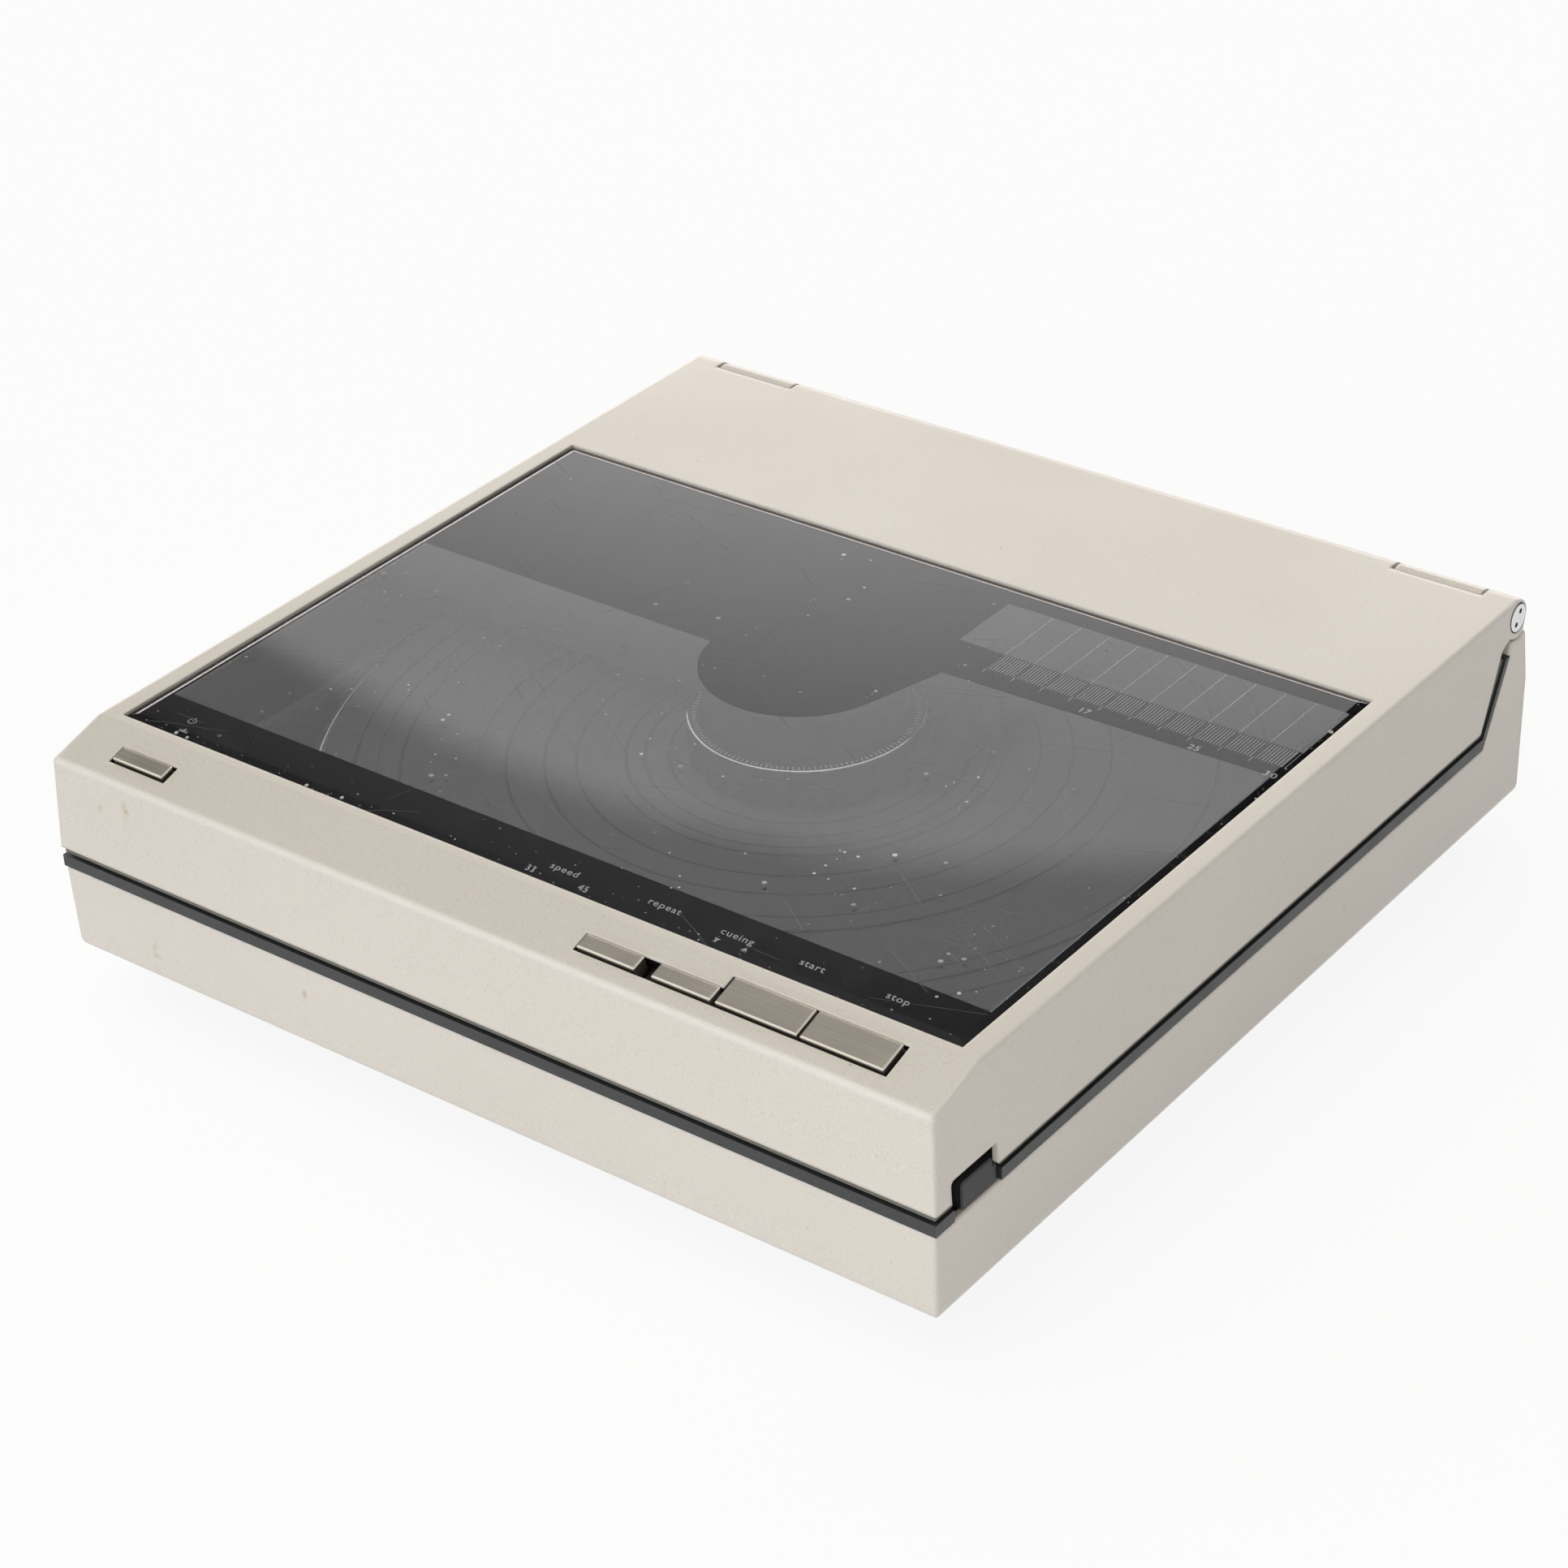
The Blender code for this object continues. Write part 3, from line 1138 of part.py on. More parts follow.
def make_platter():
    inner_rim = PLATTER_RADIUS - PLATTER_RIM_WIDTH
    bore = SPINDLE_RADIUS + SEAT_GAP
    profile = [
        (bore, PLATE_BOTTOM_Z - PLATTER_HUB_DROP),
        (PLATTER_HUB_RADIUS, PLATE_BOTTOM_Z - PLATTER_HUB_DROP),
        (PLATTER_HUB_RADIUS, PLATE_BOTTOM_Z),
        (inner_rim, PLATE_BOTTOM_Z),
        (inner_rim, RIM_BOTTOM_Z),
        (PLATTER_RADIUS, RIM_BOTTOM_Z),
        (PLATTER_RADIUS, RIM_TOP_Z - PLATTER_CHAMFER),
        (PLATTER_RADIUS - PLATTER_CHAMFER, RIM_TOP_Z),
        (PLATTER_RADIUS - PLATTER_LIP, RIM_TOP_Z),
        (PLATTER_RADIUS - PLATTER_LIP, PLATE_TOP_Z),
        (bore, PLATE_TOP_Z),
    ]
    piece("platter", turned(profile, ORIGIN, ROUND_LARGE), "cast_aluminium", smooth=True)

    outer = PLATTER_RADIUS - PLATTER_LIP - MAT_GAP
    floor = MAT_Z - MAT_GROOVE_DEPTH
    surface = [(MAT_HOLE_RADIUS, MAT_Z)]
    for share in MAT_GROOVE_SHARES:
        radius = PLATTER_RADIUS * share
        far = radius + MAT_GROOVE_WIDTH
        surface += [(radius, MAT_Z), (radius, floor), (far, floor), (far, MAT_Z)]
    surface += [(outer, MAT_Z), (outer, PLATE_TOP_Z + SEAT_GAP), (MAT_HOLE_RADIUS, PLATE_TOP_Z + SEAT_GAP)]
    piece("platter_mat", turned(surface, ORIGIN, ROUND_LARGE), "rubber", smooth=True)

    magnet_top = PLATE_BOTTOM_Z - SEAT_GAP
    magnet = [
        (MAGNET_INNER, magnet_top - MAGNET_DROP),
        (MAGNET_INNER + MAGNET_WIDTH, magnet_top - MAGNET_DROP),
        (MAGNET_INNER + MAGNET_WIDTH, magnet_top),
        (MAGNET_INNER, magnet_top),
    ]
    piece("rotor_magnet", turned(magnet, ORIGIN, ROUND_MEDIUM), "magnet", smooth=True)

    top = MAT_Z + SPINDLE_RISE
    low = DECK_Z - SPINDLE_DEPTH
    profile = [
        (0, low),
        (SPINDLE_RADIUS, low),
        (SPINDLE_RADIUS, top - SPINDLE_ROUND),
        (SPINDLE_RADIUS - SPINDLE_ROUND / 4, top - SPINDLE_ROUND / 2),
        (SPINDLE_RADIUS / 2, top),
        (0, top),
    ]
    piece("spindle", turned(profile, ORIGIN, ROUND_SMALL), "steel", smooth=True)

    low = MAT_Z - ADAPTER_THICKNESS
    profile = [
        (ADAPTER_BORE, low),
        (ADAPTER_RADIUS, low),
        (ADAPTER_RADIUS, MAT_Z - ADAPTER_CHAMFER),
        (ADAPTER_RADIUS - ADAPTER_CHAMFER, MAT_Z),
        (ADAPTER_BORE, MAT_Z),
    ]
    piece("centre_adapter", turned(profile, ORIGIN, ROUND_SMALL), "cast_aluminium", smooth=True)


KEYS = (
    ("key_power", POWER_LEFT + (POWER_WELL_WIDTH - KEY_LENGTH) / 2, KEY_LENGTH, WELL_DEPTH),
    ("key_repeat", REPEAT_LEFT, KEY_LENGTH, WELL_DEPTH),
    ("key_cueing", CUEING_LEFT, KEY_LENGTH, WELL_DEPTH),
    ("key_start", START_LEFT, START_LENGTH, WELL_DEPTH_WIDE),
    ("key_stop", STOP_LEFT, START_LENGTH, WELL_DEPTH_WIDE),
)


def key_stems(name, left, length):
    """Where the stems of a key press, along the key: one in the middle, or one under each end."""
    middle = left + length / 2
    if name != "key_cueing":
        return [middle]
    reach = length / 3
    return [middle - reach, middle + reach]


def make_keys():
    for name, left, length, depth in KEYS:
        start = WELL_START + KEY_GAP
        key_depth = depth - KEY_GAP - KEY_GAP
        middle = FASCIA.point(left + length / 2, start + key_depth / 2, -KEY_SINK / 2)
        cap = piece(
            name,
            fascia_box(left, length, start, key_depth, -KEY_SINK, KEY_RISE),
            "brushed_steel",
            middle,
        )
        round_edges(cap, KEY_EDGE, 1)
        stem_start = WELL_START + WELL_DEPTH / 2 - KEY_STEM_HALF
        for x in key_stems(name, left, length):
            stem = fascia_box(
                x - KEY_STEM_HALF,
                KEY_STEM_HALF + KEY_STEM_HALF,
                stem_start,
                KEY_STEM_HALF + KEY_STEM_HALF,
                KEY_BOTTOM,
                -KEY_SINK / 2,
            )
            join(cap, stem)


def make_key_guide_and_board():
    left = POWER_LEFT - GUIDE_MARGIN
    right = MAIN_WELL_LEFT + MAIN_WELL_WIDTH + GUIDE_MARGIN
    start = WELL_START - GUIDE_MARGIN
    depth = WELL_DEPTH_WIDE + GUIDE_MARGIN + GUIDE_BACK_MARGIN
    guide = piece(
        "key_guide",
        fascia_box(left, right - left, start, depth, GUIDE_BOTTOM, GUIDE_TOP),
        "black_plastic",
    )
    for _, key_left, length, key_depth in KEYS:
        cut(
            guide,
            fascia_box(
                key_left - KEY_GAP,
                length + KEY_GAP + KEY_GAP,
                WELL_START,
                key_depth,
                GUIDE_BOTTOM - OVERRUN,
                GUIDE_TOP + OVERRUN,
            ),
        )
    leg_middle = start + GUIDE_LEG_RADIUS + GUIDE_BACK_MARGIN / 2
    for share in GUIDE_LEG_SHARES:
        outline = circle((left + (right - left) * share, leg_middle), GUIDE_LEG_RADIUS, ROUND_TINY)
        leg_low = BOARD_TOP - SWITCH_HEIGHT + SEAT_GAP
        join(guide, prism(outline, leg_low, (GUIDE_BOTTOM + GUIDE_TOP) / 2, FASCIA))
    board_top = BOARD_TOP - SWITCH_HEIGHT
    board = piece(
        "key_board",
        fascia_box(left, right - left, start, depth, board_top - BOARD_THICKNESS, board_top),
        "circuit_board",
    )
    stem_middle = WELL_START + WELL_DEPTH / 2
    for name, key_left, length, _ in KEYS:
        for x in key_stems(name, key_left, length):
            switch = fascia_box(
                x - SWITCH_HALF,
                SWITCH_HALF + SWITCH_HALF,
                stem_middle - SWITCH_HALF,
                SWITCH_HALF + SWITCH_HALF,
                board_top - BOARD_THICKNESS / 2,
                BOARD_TOP,
            )
            join(board, switch)


def make_covers():
    half = lid_half(UNDERSIDE_TOP_Z, LID_WALL + COVER_SIDE_GAP)
    front = FRONT_Y + LID_WALL + COVER_SIDE_GAP + LID_FRONT_LEAN / 2
    key_cover = piece(
        "key_cover",
        block((-half, front, UNDERSIDE_Z), (half, FRONT_Y + KEY_COVER_BACK, UNDERSIDE_TOP_Z)),
        "dark_plastic",
    )
    pillar = (UNDERSIDE_Z + COVER_THICKNESS / 2, CEILING_Z - SEAT_GAP)
    for side in (-1, 1):
        join(
            key_cover,
            rod((side * PILLAR_X, FRONT_Y + PILLAR_FRONT, 0), PILLAR_RADIUS, *pillar, ROUND_TINY),
        )
    rear = on_slant(LID_KINK_Y, LID_EDGE_Z, UNDERSIDE_Z, -LID_WALL)[0] - COVER_SIDE_GAP
    mid_rear = HINGE_Y + LID_REAR_BACK - LID_REAR_WALL - MECHANISM_REAR_GAP
    inner = POST_INNER - COVER_SIDE_GAP
    outline = [
        (-half, MECHANISM_FRONT_Y),
        (MECHANISM_RIGHT_X, MECHANISM_FRONT_Y),
        (MECHANISM_RIGHT_X, MECHANISM_STRIP_Y),
        (half, MECHANISM_STRIP_Y),
        (half, rear),
        (inner, rear),
        (inner, mid_rear),
        (-inner, mid_rear),
        (-inner, rear),
        (-half, rear),
    ]
    cover = piece("mechanism_cover", prism(outline, UNDERSIDE_Z, UNDERSIDE_TOP_Z), "dark_plastic")
    cut(
        cover,
        rod(
            ORIGIN,
            CLAMP_RADIUS + CLAMP_HOLE_GAP,
            UNDERSIDE_Z - OVERRUN,
            UNDERSIDE_TOP_Z + OVERRUN,
            ROUND_MEDIUM,
        ),
    )
    places = [(-PILLAR_X, HINGE_Y * share) for share in PILLAR_SIDE_SHARES]
    places += [(-PILLAR_REAR_X, PILLAR_REAR_Y), (PILLAR_REAR_X, PILLAR_REAR_Y)]
    for x, y in places:
        join(cover, rod((x, y, 0), PILLAR_RADIUS, *pillar, ROUND_TINY))


def make_clamp():
    low = MAT_Z + CLAMP_REST
    plate_low = low + CLAMP_PAD_HEIGHT
    plate_top = plate_low + CLAMP_PLATE
    top = low + CLAMP_HEIGHT
    flange_radius = PLUNGER_RADIUS + PLUNGER_FLANGE
    pocket = flange_radius + SEAT_GAP
    flange_low = plate_top + SEAT_GAP
    flange_top = flange_low + PLUNGER_FLANGE_HEIGHT
    lip_low = flange_top + SEAT_GAP + SEAT_GAP
    disc = [
        (CLAMP_BORE, plate_low),
        (CLAMP_PAD_INNER, plate_low),
        (CLAMP_PAD_INNER, low),
        (CLAMP_RADIUS - CLAMP_CHAMFER, low),
        (CLAMP_RADIUS, low + CLAMP_CHAMFER),
        (CLAMP_RADIUS, top),
        (CLAMP_RADIUS - CLAMP_RIM, top),
        (CLAMP_RADIUS - CLAMP_RIM, plate_top),
        (CLAMP_HUB_RADIUS, plate_top),
        (CLAMP_HUB_RADIUS, lip_low + CLAMP_LIP),
        (PLUNGER_RADIUS + RUN_GAP, lip_low + CLAMP_LIP),
        (PLUNGER_RADIUS + RUN_GAP, lip_low),
        (pocket, lip_low),
        (pocket, plate_top),
        (CLAMP_BORE, plate_top),
    ]
    piece("clamp_disc", turned(disc, ORIGIN, ROUND_MEDIUM), "black_plastic", smooth=True)

    floor_low = top + CLAMP_TRAVEL + HOUSING_RISE
    floor_top = floor_low + HOUSING_FLOOR
    boss_top = floor_low + HOUSING_BOSS_HEIGHT
    bore = PLUNGER_RADIUS + SEAT_GAP
    collar_low = boss_top + SEAT_GAP
    collar_top = collar_low + PLUNGER_COLLAR_HEIGHT
    collar = PLUNGER_RADIUS + PLUNGER_COLLAR
    plunger_floor = flange_low + PLUNGER_FLOOR
    plunger = [
        (CLAMP_BORE, flange_low),
        (flange_radius, flange_low),
        (flange_radius, flange_top),
        (PLUNGER_RADIUS, flange_top),
        (PLUNGER_RADIUS, collar_low),
        (collar, collar_low),
        (collar, collar_top),
        (PLUNGER_BORE, collar_top),
        (PLUNGER_BORE, plunger_floor),
        (CLAMP_BORE, plunger_floor),
    ]
    piece("clamp_plunger", turned(plunger, ORIGIN, ROUND_SMALL), "black_plastic", smooth=True)

    housing_top = LEDGE_Z
    housing = [
        (bore, floor_low),
        (HOUSING_RADIUS, floor_low),
        (HOUSING_RADIUS, housing_top),
        (SPRING_RADIUS, housing_top),
        (SPRING_RADIUS, housing_top - HOUSING_WALL),
        (HOUSING_RADIUS - HOUSING_WALL, housing_top - HOUSING_WALL),
        (HOUSING_RADIUS - HOUSING_WALL, floor_top),
        (bore + HOUSING_BOSS, floor_top),
        (bore + HOUSING_BOSS, boss_top),
        (bore, boss_top),
    ]
    shell = piece("clamp_housing", turned(housing, ORIGIN, ROUND_MEDIUM), "black_plastic", smooth=True)
    reach = HOUSING_RADIUS - HOUSING_WALL / 2
    join(
        shell,
        block((-BRIDGE_HALF, reach * math.cos(math.asin(BRIDGE_HALF / reach)), floor_low),
              (BRIDGE_HALF, BRIDGE_END, floor_top)),
        block((-BRIDGE_HALF, BRIDGE_END - BRIDGE_LEG, UNDERSIDE_TOP_Z + SEAT_GAP),
              (BRIDGE_HALF, BRIDGE_END, floor_low + HOUSING_FLOOR / 2)),
    )

    spring_top = housing_top - HOUSING_WALL - SEAT_GAP - SPRING_WIRE
    spring_low = plunger_floor + SEAT_GAP + SPRING_WIRE
    steps = SPRING_TURNS * SPRING_STEPS_PER_TURN
    path = []
    for step in range(steps + 1):
        angle = math.tau * step / SPRING_STEPS_PER_TURN
        height = spring_low + (spring_top - spring_low) * step / steps
        path.append(Vector((SPRING_RADIUS * math.cos(angle), SPRING_RADIUS * math.sin(angle), height)))
    piece("clamp_spring", tube(path, SPRING_WIRE, 5), "steel", smooth=True)


def make_rails():
    ends = (RAIL_LEFT, RAIL_RIGHT)
    piece("arm_rail", rod((0, RAIL_Y, ARM_Z), RAIL_RADIUS, *ends, ROUND_TINY, "X"), "steel", smooth=True)
    piece(
        "guide_rail",
        rod((0, GUIDE_RAIL_Y, ARM_Z), GUIDE_RAIL_RADIUS, *ends, ROUND_TINY, "X"),
        "steel",
        smooth=True,
    )
    top = CEILING_Z - SEAT_GAP
    right = lid_half(top, LID_WALL + SEAT_GAP)
    for word, low in (("left", RAIL_LEFT - BRACKET_THICKNESS / 2), ("right", right - BRACKET_THICKNESS)):
        bracket = piece(
            f"rail_bracket_{word}",
            block((low, CARRIAGE_FRONT, ARM_Z - BRACKET_LOW), (low + BRACKET_THICKNESS, CARRIAGE_BACK, top)),
            "zinc_plate",
        )
        span = (low - OVERRUN, low + BRACKET_THICKNESS + OVERRUN)
        for y, radius in ((RAIL_Y, RAIL_RADIUS), (GUIDE_RAIL_Y, GUIDE_RAIL_RADIUS)):
            cut(bracket, rod((0, y, ARM_Z), radius + SEAT_GAP, *span, ROUND_TINY, "X"))
        cut(bracket, rod((0, RAIL_Y, CORD_Z), CORD_RADIUS + RUN_GAP, *span, ROUND_TINY, "X"))


def make_carriage():
    left = CARRIAGE_RIGHT - CARRIAGE_LENGTH
    low, high = ARM_Z - CARRIAGE_HALF_LOW, ARM_Z + CARRIAGE_HALF_HIGH
    carriage = piece(
        "arm_carriage",
        block((left, CARRIAGE_FRONT, low), (CARRIAGE_RIGHT, CARRIAGE_BACK, high)),
        "black_plastic",
        (CARRIAGE_RIGHT, RAIL_Y, ARM_Z),
    )
    ear_left = CARRIAGE_RIGHT - EAR_THICKNESS
    hub_start = ARM_X - ARM_HUB_HALF
    pin_end = ARM_X + ARM_HUB_HALF
    tab_top = CORD_Z + TAB_RISE
    join(
        carriage,
        block(
            (ear_left, ARM_PIVOT_Y - EAR_HALF, ARM_Z - EAR_HALF),
            (min(CARRIAGE_RIGHT, hub_start - SEAT_GAP), CARRIAGE_FRONT + TAB_HALF, ARM_Z + EAR_HALF),
        ),
        rod((0, ARM_PIVOT_Y, ARM_Z), ARM_PIVOT_RADIUS, ear_left + EAR_THICKNESS / 2, pin_end, ROUND_TINY, "X"),
        block((left, RAIL_Y - TAB_HALF, high - TAB_HALF), (left + TAB_LENGTH, RAIL_Y + TAB_HALF, tab_top)),
    )
    span = (left - OVERRUN, CARRIAGE_RIGHT + OVERRUN)
    cut(
        carriage,
        rod((0, RAIL_Y, ARM_Z), RAIL_RADIUS + SEAT_GAP, *span, ROUND_TINY, "X"),
        rod((0, GUIDE_RAIL_Y, ARM_Z), GUIDE_RAIL_RADIUS + SEAT_GAP, *span, ROUND_TINY, "X"),
        rod((0, RAIL_Y, CORD_Z), CORD_RADIUS + SEAT_GAP, *span, ROUND_TINY, "X"),
    )
    middle = (left + SOLENOID_INSET, 0, ARM_Z)
    ends = (CARRIAGE_FRONT - SEAT_GAP - SOLENOID_LENGTH, CARRIAGE_FRONT - SEAT_GAP)
    piece("lift_solenoid", rod(middle, SOLENOID_RADIUS, *ends, ROUND_TINY, "Y"), "zinc_plate", smooth=True)


def make_arm():
    pivot = Vector((ARM_X, ARM_PIVOT_Y, ARM_Z))
    hub = rod(pivot, ARM_HUB_RADIUS, -ARM_HUB_HALF, ARM_HUB_HALF, ROUND_SMALL, "X")
    arm = piece("tonearm", hub, "cast_aluminium", pivot)
    head_back = HEAD_START + HEAD_LENGTH
    join(
        arm,
        rod(
            (ARM_X, 0, ARM_Z),
            ARM_TUBE_RADIUS,
            head_back - HEAD_LENGTH / 2,
            ARM_PIVOT_Y - ARM_HUB_RADIUS / 2,
            ROUND_TINY,
            "Y",
        ),
        block(
            (ARM_X - HEAD_HALF, HEAD_START, ARM_Z - HEAD_LOW),
            (ARM_X + HEAD_HALF, head_back, ARM_Z + HEAD_HIGH),
        ),
    )
    span = (-ARM_HUB_HALF - OVERRUN, ARM_HUB_HALF + OVERRUN)
    cut(arm, rod(pivot, ARM_PIVOT_RADIUS + SEAT_GAP, *span, ROUND_TINY, "X"))

    back = HEAD_START - SEAT_GAP
    low = ARM_Z - CARTRIDGE_LOW
    outline = [
        (CARTRIDGE_FRONT, low + CARTRIDGE_SLOPE_RISE),
        (CARTRIDGE_FRONT + CARTRIDGE_SLOPE, low),
        (back, low),
        (back, ARM_Z),
        (CARTRIDGE_FRONT, ARM_Z),
    ]
    body = prism(outline, ARM_X - CARTRIDGE_HALF, ARM_X + CARTRIDGE_HALF, SIDEWAYS)
    piece("cartridge", body, "black_plastic", pivot)

    top = low - SEAT_GAP
    start = CARTRIDGE_FRONT + CARTRIDGE_SLOPE
    holder = block(
        (ARM_X - STYLUS_HALF, start, top - STYLUS_HEIGHT),
        (ARM_X + STYLUS_HALF, start + STYLUS_LENGTH, top),
    )
    stylus = piece("stylus", holder, "steel", pivot)
    tip = [
        (0, -STYLUS_TIP_DROP),
        (STYLUS_TIP_RADIUS, 0),
        (STYLUS_TIP_RADIUS, STYLUS_HEIGHT / 2),
        (0, STYLUS_HEIGHT / 2),
    ]
    tip_place = (ARM_X, start + STYLUS_TIP_RADIUS + STYLUS_TIP_RADIUS, top - STYLUS_HEIGHT)
    join(stylus, turned(tip, tip_place, ROUND_TINY))


def pulley_profile(radius, bore, low, high):
    """A pulley with a flange above and below the groove."""
    rim = radius + FLANGE_REACH
    return [
        (bore, low - FLANGE_HEIGHT),
        (rim, low - FLANGE_HEIGHT),
        (rim, low),
        (radius, low),
        (radius, high),
        (rim, high),
        (rim, high + FLANGE_HEIGHT),
        (bore, high + FLANGE_HEIGHT),
    ]


def make_arm_drive():
    axle_bore = AXLE_RADIUS + SEAT_GAP
    drum_low, drum_high = CORD_Z - DRUM_HALF, CORD_Z + DRUM_HALF
    drum_place = Vector((DRUM_X, DRUM_Y, 0))
    drum = pulley_profile(DRUM_RADIUS, axle_bore, drum_low, drum_high)
    profile = [
        (axle_bore, WHEEL_Z),
        (WHEEL_RADIUS, WHEEL_Z),
        (WHEEL_RADIUS, WHEEL_TOP_Z),
        (WHEEL_SLEEVE, WHEEL_TOP_Z),
        (WHEEL_SLEEVE, drum_low - FLANGE_HEIGHT),
        *drum[1:],
    ]
    piece("drive_wheel", turned(profile, drum_place, ROUND_SMALL), "black_plastic", drum_place, True)

    head_low = UNDERSIDE_TOP_Z + SEAT_GAP
    head_top = head_low + AXLE_HEAD_HEIGHT
    axle_top = CEILING_Z - SEAT_GAP
    axle = [
        (0, head_low),
        (AXLE_HEAD_RADIUS, head_low),
        (AXLE_HEAD_RADIUS, head_top),
        (AXLE_RADIUS, head_top),
        (AXLE_RADIUS, axle_top),
        (0, axle_top),
    ]
    piece("wheel_axle", turned(axle, drum_place, ROUND_TINY), "steel", drum_place, True)

    idler_place = Vector((IDLER_X, DRUM_Y, 0))
    idler = pulley_profile(DRUM_RADIUS, axle_bore, drum_low, drum_high)
    piece("idler_pulley", turned(idler, idler_place, ROUND_SMALL), "black_plastic", idler_place, True)
    pin = rod(idler_place, AXLE_RADIUS, drum_low - FLANGE_HEIGHT, axle_top, ROUND_TINY)
    piece("idler_pin", pin, "steel", idler_place, True)

    loop = belt_loop((DRUM_X, DRUM_Y), CORD_REACH, (IDLER_X, DRUM_Y), CORD_REACH, ROUND_TINY)
    path = [Vector((x, y, CORD_Z)) for x, y in loop]
    piece("drive_cord", tube(path, CORD_RADIUS, 6, closed=True), "cord", smooth=True)

    motor_place = Vector((MOTOR_X, DRUM_Y, 0))
    motor_top = CEILING_Z - SEAT_GAP
    motor_low = motor_top - MOTOR_HEIGHT
    shaft_bore = MOTOR_SHAFT_RADIUS + SEAT_GAP
    bore_top = motor_low + MOTOR_SHAFT_LENGTH
    body = rod(motor_place, MOTOR_RADIUS, motor_low, motor_top, ROUND_SMALL)
    motor_piece = piece("arm_motor", body, "zinc_plate", motor_place, True)
    cut(motor_piece, rod(motor_place, shaft_bore, motor_low - OVERRUN, bore_top, ROUND_TINY))

    pulley = [
        (0, WHEEL_Z),
        (PULLEY_RADIUS, WHEEL_Z),
        (PULLEY_RADIUS, WHEEL_TOP_Z),
        (MOTOR_SHAFT_RADIUS, WHEEL_TOP_Z),
        (MOTOR_SHAFT_RADIUS, bore_top - SEAT_GAP),
        (0, bore_top - SEAT_GAP),
    ]
    piece("motor_pulley", turned(pulley, motor_place, ROUND_TINY), "steel", motor_place, True)

    inner = belt_loop(
        (MOTOR_X, DRUM_Y), PULLEY_RADIUS + SEAT_GAP, (DRUM_X, DRUM_Y), WHEEL_RADIUS + SEAT_GAP, ROUND_TINY
    )
    outer = belt_loop(
        (MOTOR_X, DRUM_Y),
        PULLEY_RADIUS + SEAT_GAP + BELT_THICKNESS,
        (DRUM_X, DRUM_Y),
        WHEEL_RADIUS + SEAT_GAP + BELT_THICKNESS,
        ROUND_TINY,
    )
    belt = band(inner, outer, BELT_Z - BELT_HALF_HEIGHT, BELT_Z + BELT_HALF_HEIGHT)
    piece("drive_belt", belt, "rubber", smooth=True)


def make_latch():
    front = LATCH_Y - LATCH_LENGTH / 2
    back = LATCH_Y + LATCH_LENGTH / 2
    inner = LATCH_X - LATCH_THICKNESS
    foot_inner = LATCH_X - LATCH_FOOT_WIDTH
    low = BASE_TOP_Z + RUN_GAP
    top = LID_EDGE_Z + LATCH_TOP_RISE
    nose_low = LID_EDGE_Z + NOSE_LOW
    step_z = LID_EDGE_Z - LATCH_STEP_DROP
    outline = [
        (front, low),
        (back, low),
        (back, step_z),
        (back - LATCH_STEP, step_z),
        (back - LATCH_STEP, top),
        (front, top),
    ]
    body = prism(outline, inner, LATCH_X, SIDEWAYS)
    round_sharp(body, LATCH_BEVEL, 1, low)
    knob = piece("latch_slide", body, "dark_plastic")
    wall_clear = HALF_WIDTH - BASE_INSET - BASE_WALL - RUN_GAP
    join(
        knob,
        block(
            (foot_inner, front + LATCH_BEVEL, BASE_TOP_Z - LATCH_FOOT_DROP),
            (wall_clear, back - LATCH_BEVEL, low + RUN_GAP + RUN_GAP),
        ),
        block(
            (foot_inner + LATCH_BEVEL, back - NOSE_REACH, low),
            (foot_inner + NOSE_WIDTH, back - LATCH_BEVEL, nose_low + NOSE_HEIGHT - LATCH_BEVEL),
        ),
        block(
            (foot_inner, back - NOSE_REACH, nose_low),
            (foot_inner + NOSE_WIDTH, back + NOSE_REACH, nose_low + NOSE_HEIGHT),
        ),
    )

    foot_low = LID_EDGE_Z + CATCH_FOOT_LOW
    foot_top = foot_low + CATCH_FOOT_HEIGHT
    foot_front = back + RUN_GAP + RUN_GAP
    stem_front = back + NOSE_REACH + RUN_GAP
    catch = piece(
        "lid_catch",
        block(
            (foot_inner, stem_front, foot_low),
            (foot_inner + CATCH_WIDTH, stem_front + CATCH_STEM, UNDERSIDE_Z - SEAT_GAP),
        ),
        "steel",
    )
    join(
        catch,
        block(
            (foot_inner, foot_front, foot_low),
            (foot_inner + CATCH_WIDTH, stem_front + CATCH_STEM / 2, foot_top),
        ),
    )


